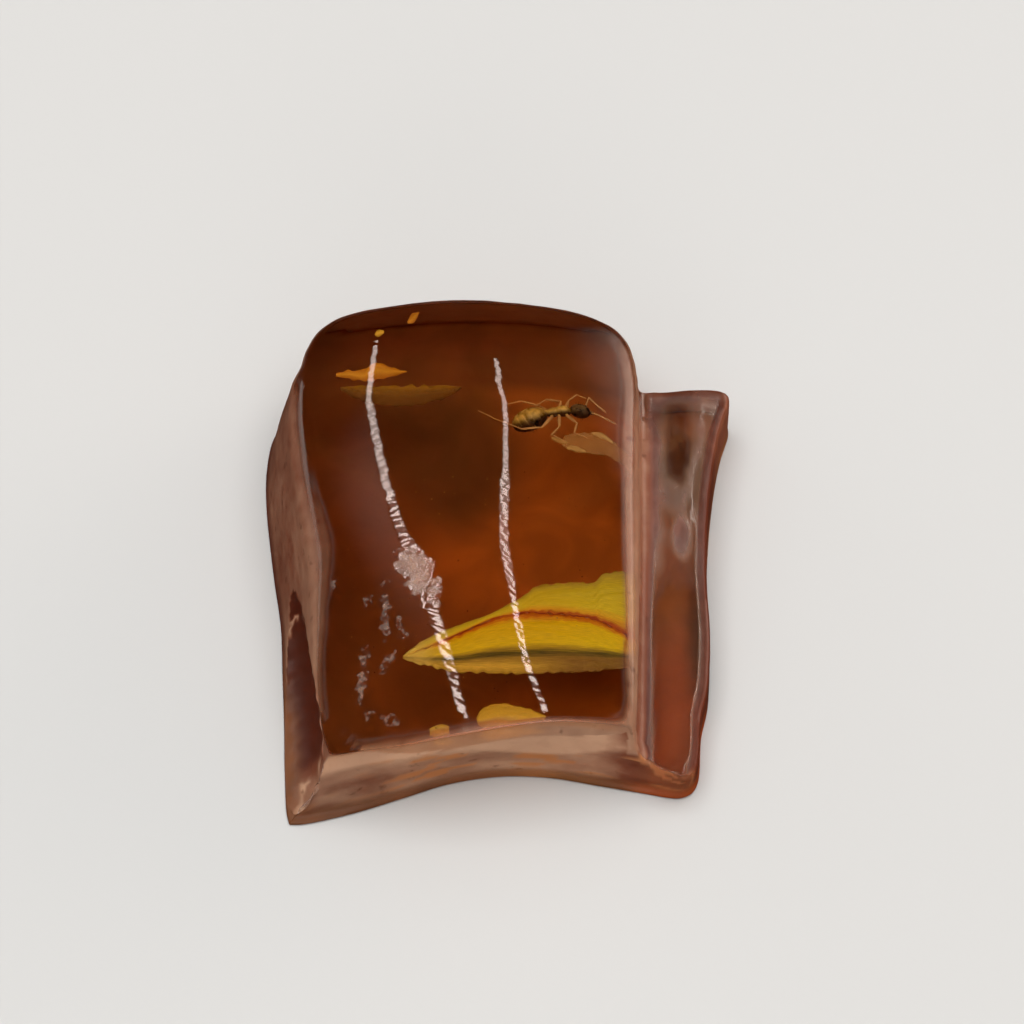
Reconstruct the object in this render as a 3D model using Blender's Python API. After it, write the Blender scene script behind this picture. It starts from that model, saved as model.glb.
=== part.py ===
"""An insect in amber: a polished block of amber with a lower flange along its right side, and an ant
sealed inside it. The block lies on its flat back, crown up. X runs across, Y away from the near side and
Z up. The shapes are drawn about a point near the block's middle, and an empty then sets the middle of the
back's bounding box on the origin."""

import math

import bmesh
import bpy
from mathutils import Matrix, Vector

MM = 0.001  # the lists below are in millimetres, and everything else is in metres

# The amber's crown, the polished top: a ridge along Y that falls away to both sides.
CROWN_HEIGHT = 0.0095
CROWN_PEAK_Y = 0.0045
CROWN_RADIUS_Y = 0.0450
RIDGE_FAR_X = -0.0032  # the ridge runs straight along this line on the far half
RIDGE_NEAR_X = 0.0003  # and bends over to here at the near side
RIDGE_BEND_Y = 0.0020
CROWN_RADIUS_FAR = 0.0200  # across the ridge, on its straight half
CROWN_RADIUS_NEAR = 0.0165  # and at the near side
CROWN_MIDDLE = Vector((-0.0015, 0.0005))

# The flange's top, a ledge beside the crown.
LEDGE_FAR_HEIGHT = 0.0042
LEDGE_NEAR_HEIGHT = 0.0027
LEDGE_INNER_RISE = 0.0001
LEDGE_EDGE_ROUND = 0.0008

NEAR_Y = -0.0142
FAR_Y = 0.0150
FOOT_ROUND = 0.0003

# Round the outline, anticlockwise from above, from the near left corner, in millimetres: foot x and y,
# rim x and y, how much the rim is rounded, and 1 where the flange's ledge lies between foot and rim.
OUTLINE = (
    (-11.45, -13.75, -9.25, -11.50, 0.30, 0),
    (-10.85, -14.15, -8.85, -11.95, 0.22, 0),
    (-8.00, -13.50, -7.20, -12.10, 0.15, 0),
    (-5.20, -12.55, -4.90, -12.20, 0.12, 0),
    (-2.60, -11.65, -2.40, -12.00, 0.12, 0),
    (0.20, -11.20, 0.20, -11.65, 0.12, 0),
    (2.90, -11.30, 2.80, -11.25, 0.12, 0),
    (5.60, -11.80, 5.00, -11.05, 0.15, 0),
    (8.00, -12.25, 6.90, -10.95, 0.35, 0),
    (9.30, -12.50, 7.35, -10.50, 0.55, 0.7),
    (10.00, -12.50, 7.50, -9.90, 0.60, 1),
    (10.60, -12.15, 7.55, -9.30, 0.70, 1),
    (10.95, -11.20, 7.60, -8.40, 0.75, 1),
    (11.10, -8.90, 7.65, -6.60, 0.80, 1),
    (11.50, -6.90, 7.70, -5.00, 0.80, 1),
    (11.65, -3.90, 7.74, -2.60, 0.80, 1),
    (11.55, -0.40, 7.80, 0.20, 0.85, 1),
    (11.70, 3.30, 7.82, 3.20, 0.90, 1),
    (12.05, 6.40, 7.85, 6.00, 0.90, 1),
    (12.45, 8.60, 7.86, 8.00, 0.95, 1),
    (12.95, 10.40, 7.86, 9.30, 1.00, 1),
    (12.65, 11.05, 7.84, 9.90, 1.00, 1),
    (11.20, 11.10, 7.82, 10.30, 1.05, 1),
    (9.20, 10.95, 7.80, 10.70, 1.10, 1),
    (7.98, 11.30, 7.78, 11.20, 1.20, 0.3),
    (7.75, 12.30, 7.65, 12.20, 1.30, 0),
    (7.35, 13.50, 7.20, 13.40, 1.50, 0),
    (6.40, 14.50, 6.20, 14.30, 1.70, 0),
    (4.40, 14.95, 4.30, 14.75, 1.90, 0),
    (1.50, 15.05, 1.50, 14.90, 2.00, 0),
    (-1.50, 15.00, -1.50, 14.85, 2.10, 0),
    (-5.60, 14.75, -5.50, 14.55, 2.00, 0),
    (-8.60, 14.35, -8.40, 14.10, 1.80, 0),
    (-10.20, 13.60, -9.95, 13.30, 1.50, 0),
    (-11.00, 12.40, -10.70, 12.10, 1.40, 0),
    (-11.50, 11.30, -11.00, 10.90, 1.40, 0),
    (-12.65, 10.30, -11.35, 9.80, 1.50, 0),
    (-13.05, 8.00, -11.45, 7.80, 1.80, 0),
    (-13.00, 5.60, -11.30, 5.40, 1.90, 0),
    (-12.75, 3.20, -11.00, 3.00, 1.80, 0),
    (-12.45, 0.80, -10.55, 0.60, 1.40, 0),
    (-12.05, -2.00, -10.10, -2.20, 1.00, 0),
    (-11.90, -5.00, -9.95, -5.20, 0.70, 0),
    (-11.75, -8.00, -9.85, -8.00, 0.45, 0),
    (-11.65, -11.20, -9.60, -10.20, 0.35, 0),
)
STEPS_PER_STATION = 2
ROUND_STEPS = 3
CROWN_RINGS = 7

# A long chip is broken out of the left side, towards the near corner.
CHIP_MIDDLE = Vector((-0.0138, -0.0108, 0.0038))
CHIP_RADII = (0.0043, 0.0130, 0.0042)
CHIP_TURN = math.radians(3)

# The block is parted level through the ant, and the ant lies in a pocket across the parting.
PARTING_HEIGHT = 0.0054
GAP = 0.0003
POCKET_RADII = (0.0044, 0.0026, 0.00125)

# The ant lies on its side in the amber, back towards +Y, head towards +X.
ANT_PLACE = Vector((0.00265, 0.0078, PARTING_HEIGHT))
ANT_TURN = math.radians(14)
ANT_ROLL = math.radians(-55)

# The ant's body before it is rolled and placed, in millimetres: middle, half lengths and pitch in degrees.
ANT_BODY = (
    ((-1.32, 0.0, -0.10), (1.02, 0.58, 0.64), -18),  # gaster, drooping
    ((-0.36, 0.0, 0.13), (0.17, 0.13, 0.20), -10),  # waist
    ((0.02, 0.0, 0.12), (0.42, 0.25, 0.28), -8),  # hind part of the middle body
    ((0.56, 0.0, 0.12), (0.46, 0.31, 0.34), 8),  # fore part of the middle body
    ((0.98, 0.0, 0.06), (0.20, 0.13, 0.14), 10),  # neck
    ((1.50, 0.0, -0.02), (0.58, 0.50, 0.44), 14),  # head
    ((1.48, 0.44, 0.12), (0.15, 0.10, 0.13), 0),  # left eye
    ((1.48, -0.44, 0.12), (0.15, 0.10, 0.13), 0),  # right eye
    ((2.06, 0.12, -0.20), (0.22, 0.09, 0.07), 20),  # left jaw
    ((2.06, -0.12, -0.20), (0.22, 0.09, 0.07), 20),  # right jaw
)

# Legs and feelers, as they lie once the body is rolled: joints in millimetres, from the body outwards.
ANT_LIMBS = (
    ((0.62, -0.10, 0.12), (1.15, -0.85, 0.34), (0.85, -1.35, 0.20), (1.45, -1.75, 0.10)),
    ((0.30, -0.10, 0.12), (0.15, -0.95, 0.44), (-0.40, -1.30, 0.30), (0.20, -1.78, 0.15)),
    ((-0.02, -0.08, 0.12), (-0.80, -0.85, 0.50), (-1.90, -0.80, 0.62), (-3.05, 0.15, 0.30), (-3.80, 0.90, 0.12)),
    ((0.62, 0.05, -0.12), (1.00, 0.90, -0.50), (1.55, 1.15, -0.38), (2.00, 0.85, -0.32)),
    ((0.30, 0.05, -0.12), (0.58, 0.88, -0.40), (-0.18, 1.08, -0.32), (-0.85, 0.72, -0.28)),
    ((-0.02, 0.02, -0.12), (-0.62, 0.82, -0.58), (-1.50, 1.25, -0.45), (-2.20, 1.15, -0.32)),
    ((1.80, 0.05, 0.15), (2.25, 0.62, 0.40), (2.62, 0.05, 0.36), (2.95, -0.35, 0.22)),
    ((1.80, -0.10, 0.02), (2.35, -0.35, 0.12), (2.95, -0.80, 0.10), (3.35, -1.10, 0.05)),
)
LIMB_RADII = (0.11, 0.085, 0.06, 0.05, 0.045)  # millimetres, at each joint from the body outwards


def clear_scene():
    for old in list(bpy.data.objects):
        bpy.data.objects.remove(old)


def collection(name, hidden=False):
    made = bpy.data.collections.new(name)
    bpy.context.scene.collection.children.link(made)
    made.hide_render = hidden
    return made


def material(name, colour, roughness, transmission=0.0):
    made = bpy.data.materials.new(name)
    made.use_nodes = True
    shader = made.node_tree.nodes["Principled BSDF"]
    shader.inputs["Base Color"].default_value = (*colour, 1)
    shader.inputs["Roughness"].default_value = roughness
    shader.inputs["Transmission Weight"].default_value = transmission
    return made


def add_object(name, mesh, into, finish=None):
    made = bpy.data.objects.new(name, mesh)
    into.objects.link(made)
    if finish:
        mesh.materials.append(finish)
    return made


def helper(made):
    made.hide_render = True
    made.display_type = "WIRE"
    return made


def ease(share):
    share = min(max(share, 0), 1)
    return share * share * (3 - 2 * share)


def crown_height(x, y):
    """The height of the polished top over a point."""
    bend = ease((RIDGE_BEND_Y - y) / (RIDGE_BEND_Y - NEAR_Y))
    ridge = RIDGE_FAR_X + (RIDGE_NEAR_X - RIDGE_FAR_X) * bend
    radius = CROWN_RADIUS_FAR + (CROWN_RADIUS_NEAR - CROWN_RADIUS_FAR) * bend
    along = (y - CROWN_PEAK_Y) ** 2 / (2 * CROWN_RADIUS_Y)
    return CROWN_HEIGHT - along - (x - ridge) ** 2 / (2 * radius)


def ledge_height(y):
    share = (y - NEAR_Y) / (FAR_Y - NEAR_Y)
    return LEDGE_NEAR_HEIGHT + (LEDGE_FAR_HEIGHT - LEDGE_NEAR_HEIGHT) * ease(share * 1.3)


def closed_spline(rows, steps):
    """The rows of a closed outline, with smooth ones between them."""
    made = []
    count = len(rows)
    for i in range(count):
        before, start, end, after = (rows[(i + k) % count] for k in (-1, 0, 1, 2))
        for step in range(steps):
            t = step / steps
            row = []
            for a, b, c, d in zip(before, start, end, after):
                curve = 2 * b + (c - a) * t + (2 * a - 5 * b + 4 * c - d) * t**2 + (3 * b - a - 3 * c + d) * t**3
                row.append(curve / 2)
            made.append(row)
    return made


def rounded(before, corner, after, size, steps):
    """Points that round a corner of a profile, from one leg to the other."""
    back, ahead = before - corner, after - corner
    reach = min(size, 0.45 * back.length, 0.45 * ahead.length)
    start = corner + back.normalized() * reach
    end = corner + ahead.normalized() * reach
    points = []
    for step in range(steps + 1):
        t = step / steps
        points.append(start * (1 - t) ** 2 + corner * (2 * t * (1 - t)) + end * t**2)
    return points


def profile(row):
    """The amber's outer face at one place of its outline, from the back up to the crown's middle."""
    foot, rim = Vector(row[0:2]) * MM, Vector(row[2:4]) * MM
    rim_round, ledge = max(row[4], 0.1) * MM, min(max(row[5], 0), 1)
    top = Vector((*rim, crown_height(*rim)))
    base = Vector((*foot, 0))
    shelf = ledge_height(foot.y)
    shelf_edge = Vector((*foot, shelf))
    shelf_back = Vector((*rim, shelf + LEDGE_INNER_RISE))
    lower = base.lerp(top, 0.35).lerp(shelf_edge, ledge)
    upper = base.lerp(top, 0.65).lerp(shelf_back, ledge)
    inward = (CROWN_MIDDLE - foot).normalized() * FOOT_ROUND * 2
    under = base + Vector((*inward, 0))
    over_xy = rim.lerp(CROWN_MIDDLE, 0.25)
    over = Vector((*over_xy, crown_height(*over_xy)))
    points = rounded(under, base, lower, FOOT_ROUND, 1)
    points += rounded(base, lower, upper, LEDGE_EDGE_ROUND, ROUND_STEPS - 1)
    points += rounded(lower, upper, top, LEDGE_EDGE_ROUND, ROUND_STEPS - 1)
    points += rounded(upper, top, over, rim_round, ROUND_STEPS)
    last = points[-1]
    for ring in range(1, CROWN_RINGS):
        x, y = last.xy.lerp(CROWN_MIDDLE, ring / CROWN_RINGS)
        points.append(Vector((x, y, crown_height(x, y))))
    return points


def amber_mesh():
    """The whole block as one closed skin: a profile at each place round the outline."""
    columns = [profile(row) for row in closed_spline(OUTLINE, STEPS_PER_STATION)]
    shape = bmesh.new()
    grid = [[shape.verts.new(point) for point in column] for column in columns]
    middle = shape.verts.new((*CROWN_MIDDLE, crown_height(*CROWN_MIDDLE)))
    for left, right in zip(grid, grid[1:] + grid[:1]):
        for k in range(len(left) - 1):
            shape.faces.new((left[k], right[k], right[k + 1], left[k + 1]))
        shape.faces.new((left[-1], right[-1], middle))
    shape.faces.new([column[0] for column in reversed(grid)])
    mesh = bpy.data.meshes.new("amber_block")
    shape.to_mesh(mesh)
    shape.free()
    return mesh


def block_of(name, low, high, into):
    """A plain box between two corners, as a cutter."""
    shape = bmesh.new()
    bmesh.ops.create_cube(shape, size=1)
    low, high = Vector(low), Vector(high)
    size, middle = high - low, (low + high) / 2
    bmesh.ops.transform(shape, matrix=Matrix.Translation(middle) @ Matrix.Diagonal((*size, 1)), verts=shape.verts)
    mesh = bpy.data.meshes.new(name)
    shape.to_mesh(mesh)
    shape.free()
    return helper(add_object(name, mesh, into))


def ball(name, radii, place, into, segments=24, rings=14):
    """A ball, drawn out to three half lengths and put in its place."""
    shape = bmesh.new()
    bmesh.ops.create_uvsphere(shape, u_segments=segments, v_segments=rings, radius=1)
    bmesh.ops.transform(shape, matrix=place @ Matrix.Diagonal((*radii, 1)), verts=shape.verts)
    mesh = bpy.data.meshes.new(name)
    shape.to_mesh(mesh)
    shape.free()
    return add_object(name, mesh, into)


def cut(made, cutter, operation):
    change = made.modifiers.new(cutter.name, "BOOLEAN")
    change.operation = operation
    change.object = cutter


def make_amber(into, cutters):
    """The block's two halves, which meet level at the parting, with half the ant's pocket in each."""
    reach = 0.02
    pocket_place = Matrix.Translation(ANT_PLACE) @ Matrix.Rotation(ANT_TURN, 4, "Z")
    pocket = helper(ball("pocket", POCKET_RADII, pocket_place, cutters, 32, 16))
    chip_place = Matrix.Translation(CHIP_MIDDLE) @ Matrix.Rotation(CHIP_TURN, 4, "Z")
    chip = helper(ball("chip", CHIP_RADII, chip_place, cutters, 36, 36))
    finish = material("amber", (0.62, 0.20, 0.03), 0.05, 0.9)
    below = (-reach, -reach, -reach), (reach, reach, PARTING_HEIGHT - GAP / 2)
    above = (-reach, -reach, PARTING_HEIGHT + GAP / 2), (reach, reach, reach)
    for name, corners in (("amber_base", below), ("amber_crown", above)):
        half = add_object(name, amber_mesh(), into, finish)
        cut(half, block_of(name + "_room", *corners, cutters), "INTERSECT")
        cut(half, pocket, "DIFFERENCE")
        cut(half, chip, "DIFFERENCE")
        half.data.shade_smooth()
        half.data.set_sharp_from_angle(angle=math.radians(35))


def limb_mesh(name, joints, into):
    """A leg or feeler as one tapering tube through its joints, welded closed."""
    curve = bpy.data.curves.new(name, "CURVE")
    curve.dimensions = "3D"
    curve.bevel_depth = MM
    curve.bevel_resolution = 1
    curve.use_fill_caps = True
    line = curve.splines.new("POLY")
    line.points.add(len(joints) - 1)
    for point, joint, radius in zip(line.points, joints, LIMB_RADII):
        point.co = (*(Vector(joint) * MM), 1)
        point.radius = radius
    drawn = bpy.data.objects.new(name, curve)
    into.objects.link(drawn)
    bpy.context.view_layer.update()
    mesh = bpy.data.meshes.new_from_object(drawn.evaluated_get(bpy.context.evaluated_depsgraph_get()))
    bpy.data.objects.remove(drawn)
    shape = bmesh.new()
    shape.from_mesh(mesh)
    bmesh.ops.remove_doubles(shape, verts=shape.verts, dist=0.000001)
    shape.to_mesh(mesh)
    shape.free()
    return helper(add_object(name, mesh, into))


def make_ant(into, pieces):
    """The ant as one body: balls drawn out for its parts, joined with its legs, feelers and jaws."""
    roll = Matrix.Rotation(ANT_ROLL, 4, "X")
    place = Matrix.Translation(ANT_PLACE) @ Matrix.Rotation(ANT_TURN, 4, "Z")
    parts = []
    for number, (middle, radii, pitch) in enumerate(ANT_BODY):
        spot = roll @ Matrix.Translation(Vector(middle) * MM) @ Matrix.Rotation(math.radians(pitch), 4, "Y")
        parts.append(ball(f"body_{number}", [r * MM for r in radii], spot, pieces, 18, 10))
    for number, joints in enumerate(ANT_LIMBS):
        parts.append(limb_mesh(f"limb_{number}", joints, pieces))
    first, *others = parts
    ant = add_object("ant", first.data, into, material("ant_cuticle", (0.09, 0.04, 0.015), 0.35))
    ant.matrix_basis = place
    bpy.data.objects.remove(first)
    for other in others:
        helper(other).matrix_basis = place
        cut(ant, other, "UNION")


def centre_on_back(groups):
    """Hangs every piece and cutter on an empty that puts the middle of the block's back on the origin."""
    block = amber_mesh()
    low = Vector([min(vertex.co[axis] for vertex in block.vertices) for axis in range(3)])
    high = Vector([max(vertex.co[axis] for vertex in block.vertices) for axis in range(3)])
    bpy.data.meshes.remove(block)
    pieces = [made for group in groups for made in group.objects]
    back = bpy.data.objects.new("back_middle", None)
    groups[0].objects.link(back)
    back.location = (*(-(low + high) / 2).xy, -low.z)
    for made in pieces:
        made.parent = back


def main():
    clear_scene()
    amber = collection("insect in amber")
    cutters = collection("cutters", hidden=True)
    make_amber(amber, cutters)
    make_ant(amber, cutters)
    centre_on_back((amber, cutters))


main()
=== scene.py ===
# Insect in amber: a polished block of dark amber on its back, with an ant and bright cracks inside.
import math

import bmesh
import bpy
import numpy as np
from mathutils import Matrix, Vector, noise


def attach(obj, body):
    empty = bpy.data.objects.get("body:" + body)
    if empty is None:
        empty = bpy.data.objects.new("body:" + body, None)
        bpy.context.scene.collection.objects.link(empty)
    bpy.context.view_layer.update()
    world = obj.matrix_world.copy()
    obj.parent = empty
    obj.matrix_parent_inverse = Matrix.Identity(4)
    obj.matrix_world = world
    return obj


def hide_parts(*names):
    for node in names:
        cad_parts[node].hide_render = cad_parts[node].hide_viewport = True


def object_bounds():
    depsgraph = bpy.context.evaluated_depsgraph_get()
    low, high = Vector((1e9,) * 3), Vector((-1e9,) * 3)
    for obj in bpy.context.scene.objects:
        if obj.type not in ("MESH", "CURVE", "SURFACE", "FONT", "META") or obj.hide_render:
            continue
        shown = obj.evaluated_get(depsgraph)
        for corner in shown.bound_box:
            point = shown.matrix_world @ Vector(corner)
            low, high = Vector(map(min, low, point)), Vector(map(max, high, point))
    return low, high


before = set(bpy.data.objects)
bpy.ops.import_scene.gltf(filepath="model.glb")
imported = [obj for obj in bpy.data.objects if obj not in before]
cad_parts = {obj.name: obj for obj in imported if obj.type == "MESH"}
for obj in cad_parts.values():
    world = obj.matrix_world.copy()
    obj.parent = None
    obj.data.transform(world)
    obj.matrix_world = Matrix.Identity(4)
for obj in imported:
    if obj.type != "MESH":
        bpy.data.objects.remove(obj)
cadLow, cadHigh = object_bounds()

mm = 0.001


def clamp(value, low, high):
    return min(max(value, low), high)


def ease(share):
    share = clamp(share, 0.0, 1.0)
    return share * share * (3 - 2 * share)


def between(low, high, value):
    # 0 below low, 1 above high and smooth between them
    return ease((value - low) / (high - low))


def link(made):
    bpy.context.scene.collection.objects.link(made)
    return made


def meshFrom(name, points, faces):
    mesh = bpy.data.meshes.new(name)
    mesh.from_pydata([tuple(point) for point in points], [], faces)
    mesh.update()
    return mesh


def pointValues(mesh, name, values):
    layer = mesh.attributes.new(name, "FLOAT", "POINT")
    layer.data.foreach_set("value", np.asarray(values, np.float32))


def finished(made):
    # the evaluated shape as a plain mesh, with no modifier left
    bpy.context.view_layer.update()
    graph = bpy.context.evaluated_depsgraph_get()
    mesh = bpy.data.meshes.new_from_object(made.evaluated_get(graph), depsgraph=graph)
    made.modifiers.clear()
    made.data = mesh
    return made


def ripple(point, size, seed=0.0):
    # smooth noise from -1 to 1 whose lumps are about this size
    return noise.noise(Vector(point) / size + Vector((seed, seed * 1.7, -seed)))


def setInputs(tree, node, values):
    # each input, by name or number, gets a value or is wired to another node's output
    for name, value in values.items():
        if isinstance(value, bpy.types.NodeSocket):
            tree.links.new(value, node.inputs[name])
        else:
            node.inputs[name].default_value = value


def addNode(tree, kind, values=None, **choices):
    made = tree.nodes.new(kind)
    for name, choice in choices.items():
        setattr(made, name, choice)
    setInputs(tree, made, values or {})
    return made


def newMaterial(name):
    made = bpy.data.materials.new(name)
    made.use_nodes = True
    return made, made.node_tree, made.node_tree.nodes["Principled BSDF"]


def mixColours(tree, factor, first, second, blend="MIX"):
    values = {0: factor, 6: first, 7: second}
    return addNode(tree, "ShaderNodeMix", values, data_type="RGBA", blend_type=blend).outputs[2]


def mixNumbers(tree, factor, first, second):
    return addNode(tree, "ShaderNodeMix", {0: factor, 2: first, 3: second}).outputs[0]


def mathNode(tree, operation, *values):
    return addNode(tree, "ShaderNodeMath", dict(enumerate(values)), operation=operation).outputs[0]


def vectorNode(tree, operation, *values):
    return addNode(tree, "ShaderNodeVectorMath", dict(enumerate(values)), operation=operation).outputs


def noiseNode(tree, vector, scale, detail=3.0, distortion=0.0):
    values = {"Vector": vector, "Scale": scale, "Detail": detail, "Distortion": distortion}
    return addNode(tree, "ShaderNodeTexNoise", values).outputs["Fac"]


def rangeNode(tree, value, low, high, newLow=0.0, newHigh=1.0):
    values = {"Value": value, "From Min": low, "From Max": high, "To Min": newLow, "To Max": newHigh}
    return addNode(tree, "ShaderNodeMapRange", values, interpolation_type="SMOOTHSTEP").outputs["Result"]


def mappingNode(tree, vector, scale=(1, 1, 1), turn=(0, 0, 0)):
    values = {"Vector": vector, "Scale": scale, "Rotation": turn}
    return addNode(tree, "ShaderNodeMapping", values).outputs["Vector"]


def pieceCoords(tree):
    return addNode(tree, "ShaderNodeTexCoord").outputs["Object"]


def splitNode(tree, vector):
    return addNode(tree, "ShaderNodeSeparateXYZ", {0: vector}).outputs


def valueOf(tree, name):
    return addNode(tree, "ShaderNodeAttribute", attribute_name=name).outputs["Fac"]


def bumpNode(tree, height, distance, **others):
    return addNode(tree, "ShaderNodeBump", {"Height": height, "Distance": distance, **others}).outputs["Normal"]


block = {
    # the crown: a ridge along Y that falls away to both sides, in millimetres
    "crownHeight": 9.5,
    "crownPeakY": 4.5,
    "crownRadiusAlong": 45.0,
    "crownRadiusFar": 20.0,
    "crownRadiusNear": 16.5,
    "ridgeFarX": -3.2,
    "ridgeNearX": 0.3,
    "ridgeBendY": 2.0,
    "crownMiddle": (-1.5, 0.5),
    # the flange's top, and the roundings
    "ledgeFarHeight": 4.2,
    "ledgeNearHeight": 2.7,
    "ledgeInnerRise": 0.1,
    "edgeRound": 0.8,
    "footRound": 0.3,
    "nearY": -14.2,
    "farY": 15.0,
    # foot x and y, rim x and y, rim rounding, share of ledge; anticlockwise from the near left corner
    "outline": (
        (-11.45, -13.75, -9.25, -11.50, 0.30, 0),
        (-10.85, -14.15, -8.85, -11.95, 0.22, 0),
        (-8.00, -13.50, -7.20, -12.10, 0.15, 0),
        (-5.20, -12.55, -4.90, -12.20, 0.12, 0),
        (-2.60, -11.65, -2.40, -12.00, 0.12, 0),
        (0.20, -11.20, 0.20, -11.65, 0.12, 0),
        (2.90, -11.30, 2.80, -11.25, 0.12, 0),
        (5.60, -11.80, 5.00, -11.05, 0.15, 0),
        (8.00, -12.25, 6.90, -10.95, 0.35, 0),
        (9.30, -12.50, 7.35, -10.50, 0.55, 0.7),
        (10.00, -12.50, 7.50, -9.90, 0.60, 1),
        (10.60, -12.15, 7.55, -9.30, 0.70, 1),
        (10.95, -11.20, 7.60, -8.40, 0.75, 1),
        (11.10, -8.90, 7.65, -6.60, 0.80, 1),
        (11.50, -6.90, 7.70, -5.00, 0.80, 1),
        (11.65, -3.90, 7.74, -2.60, 0.80, 1),
        (11.55, -0.40, 7.80, 0.20, 0.85, 1),
        (11.70, 3.30, 7.82, 3.20, 0.90, 1),
        (12.05, 6.40, 7.85, 6.00, 0.90, 1),
        (12.45, 8.60, 7.86, 8.00, 0.95, 1),
        (12.95, 10.40, 7.86, 9.30, 1.00, 1),
        (12.65, 11.05, 7.84, 9.90, 1.00, 1),
        (11.20, 11.10, 7.82, 10.30, 1.05, 1),
        (9.20, 10.95, 7.80, 10.70, 1.10, 1),
        (7.98, 11.30, 7.78, 11.20, 1.20, 0.3),
        (7.75, 12.30, 7.65, 12.20, 1.30, 0),
        (7.35, 13.50, 7.20, 13.40, 1.50, 0),
        (6.40, 14.50, 6.20, 14.30, 1.70, 0),
        (4.40, 14.95, 4.30, 14.75, 1.90, 0),
        (1.50, 15.05, 1.50, 14.90, 2.00, 0),
        (-1.50, 15.00, -1.50, 14.85, 2.10, 0),
        (-5.60, 14.75, -5.50, 14.55, 2.00, 0),
        (-8.60, 14.35, -8.40, 14.10, 1.80, 0),
        (-10.20, 13.60, -9.95, 13.30, 1.50, 0),
        (-11.00, 12.40, -10.70, 12.10, 1.40, 0),
        (-11.50, 11.30, -11.00, 10.90, 1.40, 0),
        (-12.65, 10.30, -11.35, 9.80, 1.50, 0),
        (-13.05, 8.00, -11.45, 7.80, 1.80, 0),
        (-13.00, 5.60, -11.30, 5.40, 1.90, 0),
        (-12.75, 3.20, -11.00, 3.00, 1.80, 0),
        (-12.45, 0.80, -10.55, 0.60, 1.40, 0),
        (-12.05, -2.00, -10.10, -2.20, 1.00, 0),
        (-11.90, -5.00, -9.95, -5.20, 0.70, 0),
        (-11.75, -8.00, -9.85, -8.00, 0.45, 0),
        (-11.65, -11.20, -9.60, -10.20, 0.35, 0),
    ),
    "columnsPerStation": 11,
    "crownRings": 44,
    # the long chip out of the left side
    "chipMiddle": (-13.8, -10.8, 3.8),
    "chipRadii": (4.3, 13.0, 4.2),
    "chipTurn": math.radians(3),
    "chipRippleDepth": 0.05,
    "chipRippleLength": 1.1,
}


def crownHeightAt(x, y):
    bend = ease((block["ridgeBendY"] - y) / (block["ridgeBendY"] - block["nearY"]))
    ridge = block["ridgeFarX"] + (block["ridgeNearX"] - block["ridgeFarX"]) * bend
    radius = block["crownRadiusFar"] + (block["crownRadiusNear"] - block["crownRadiusFar"]) * bend
    along = (y - block["crownPeakY"]) ** 2 / (2 * block["crownRadiusAlong"])
    return block["crownHeight"] - along - (x - ridge) ** 2 / (2 * radius)


def ledgeHeightAt(y):
    share = (y - block["nearY"]) / (block["farY"] - block["nearY"])
    return block["ledgeNearHeight"] + (block["ledgeFarHeight"] - block["ledgeNearHeight"]) * ease(share * 1.3)


def splineAt(before, start, end, after, t):
    # from start to end, smoothly past both
    curve = 2 * start + (end - before) * t + (2 * before - 5 * start + 4 * end - after) * t**2
    return (curve + (3 * start - before - 3 * end + after) * t**3) / 2


def closedSpline(rows, steps):
    made = []
    count = len(rows)
    for i in range(count):
        before, start, end, after = (rows[(i + k) % count] for k in (-1, 0, 1, 2))
        for step in range(steps):
            t = step / steps
            row = []
            for a, b, c, d in zip(before, start, end, after):
                row.append(splineAt(a, b, c, d, t))
            made.append(row)
    return made


def roundedCorner(before, corner, after, size, steps):
    back, ahead = before - corner, after - corner
    reach = min(size, 0.45 * back.length, 0.45 * ahead.length)
    start = corner + back.normalized() * reach
    end = corner + ahead.normalized() * reach
    points = []
    for step in range(steps + 1):
        t = step / steps
        points.append(start * (1 - t) ** 2 + corner * (2 * t * (1 - t)) + end * t**2)
    return points


def joinedBy(first, second, steps):
    # both stretches, with evenly spaced points along the straight between them
    start, end = first[-1], second[0]
    return first + [start.lerp(end, step / steps) for step in range(1, steps)] + second


def blockProfile(row, fine):
    # the outer face at one place of the outline, from the back to near the crown's middle,
    # with its polish and how far in from the rim each point lies
    foot, rim = Vector(row[0:2]), Vector(row[2:4])
    rimRound, ledge = max(row[4], 0.1), clamp(row[5], 0, 1)
    middle = Vector(block["crownMiddle"])
    top = Vector((*rim, crownHeightAt(*rim)))
    base = Vector((*foot, 0))
    shelf = ledgeHeightAt(foot.y)
    shelfEdge = Vector((*foot, shelf))
    shelfBack = Vector((*rim, shelf + block["ledgeInnerRise"]))
    lower = base.lerp(top, 0.35).lerp(shelfEdge, ledge)
    upper = base.lerp(top, 0.65).lerp(shelfBack, ledge)
    under = base + Vector((*((middle - foot).normalized() * block["footRound"] * 2), 0))
    overFlat = rim.lerp(middle, 0.25)
    over = Vector((*overFlat, crownHeightAt(*overFlat)))
    points = roundedCorner(under, base, lower, block["footRound"], 1 + 2 * fine)
    for corner in ((base, lower, upper), (lower, upper, top)):
        points = joinedBy(points, roundedCorner(*corner, block["edgeRound"], 2 + 3 * fine), 1 + 9 * fine)
    rimPoints = roundedCorner(upper, top, over, rimRound, 3 + 6 * fine)
    points = joinedBy(points, rimPoints, 1 + 9 * fine)
    polish = [0.0] * (len(points) - len(rimPoints))
    polish += [between(0.5, 0.9, (k + 1) / len(rimPoints)) for k in range(len(rimPoints))]
    last = points[-1]
    inward = [0.0] * len(points)
    rings = block["crownRings"] if fine else 7
    for ring in range(1, rings):
        x, y = last.xy.lerp(middle, ring / rings)
        points.append(Vector((x, y, crownHeightAt(x, y))))
        polish.append(1.0)
        inward.append((last.xy - Vector((x, y))).length)
    return points, polish, inward


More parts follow.
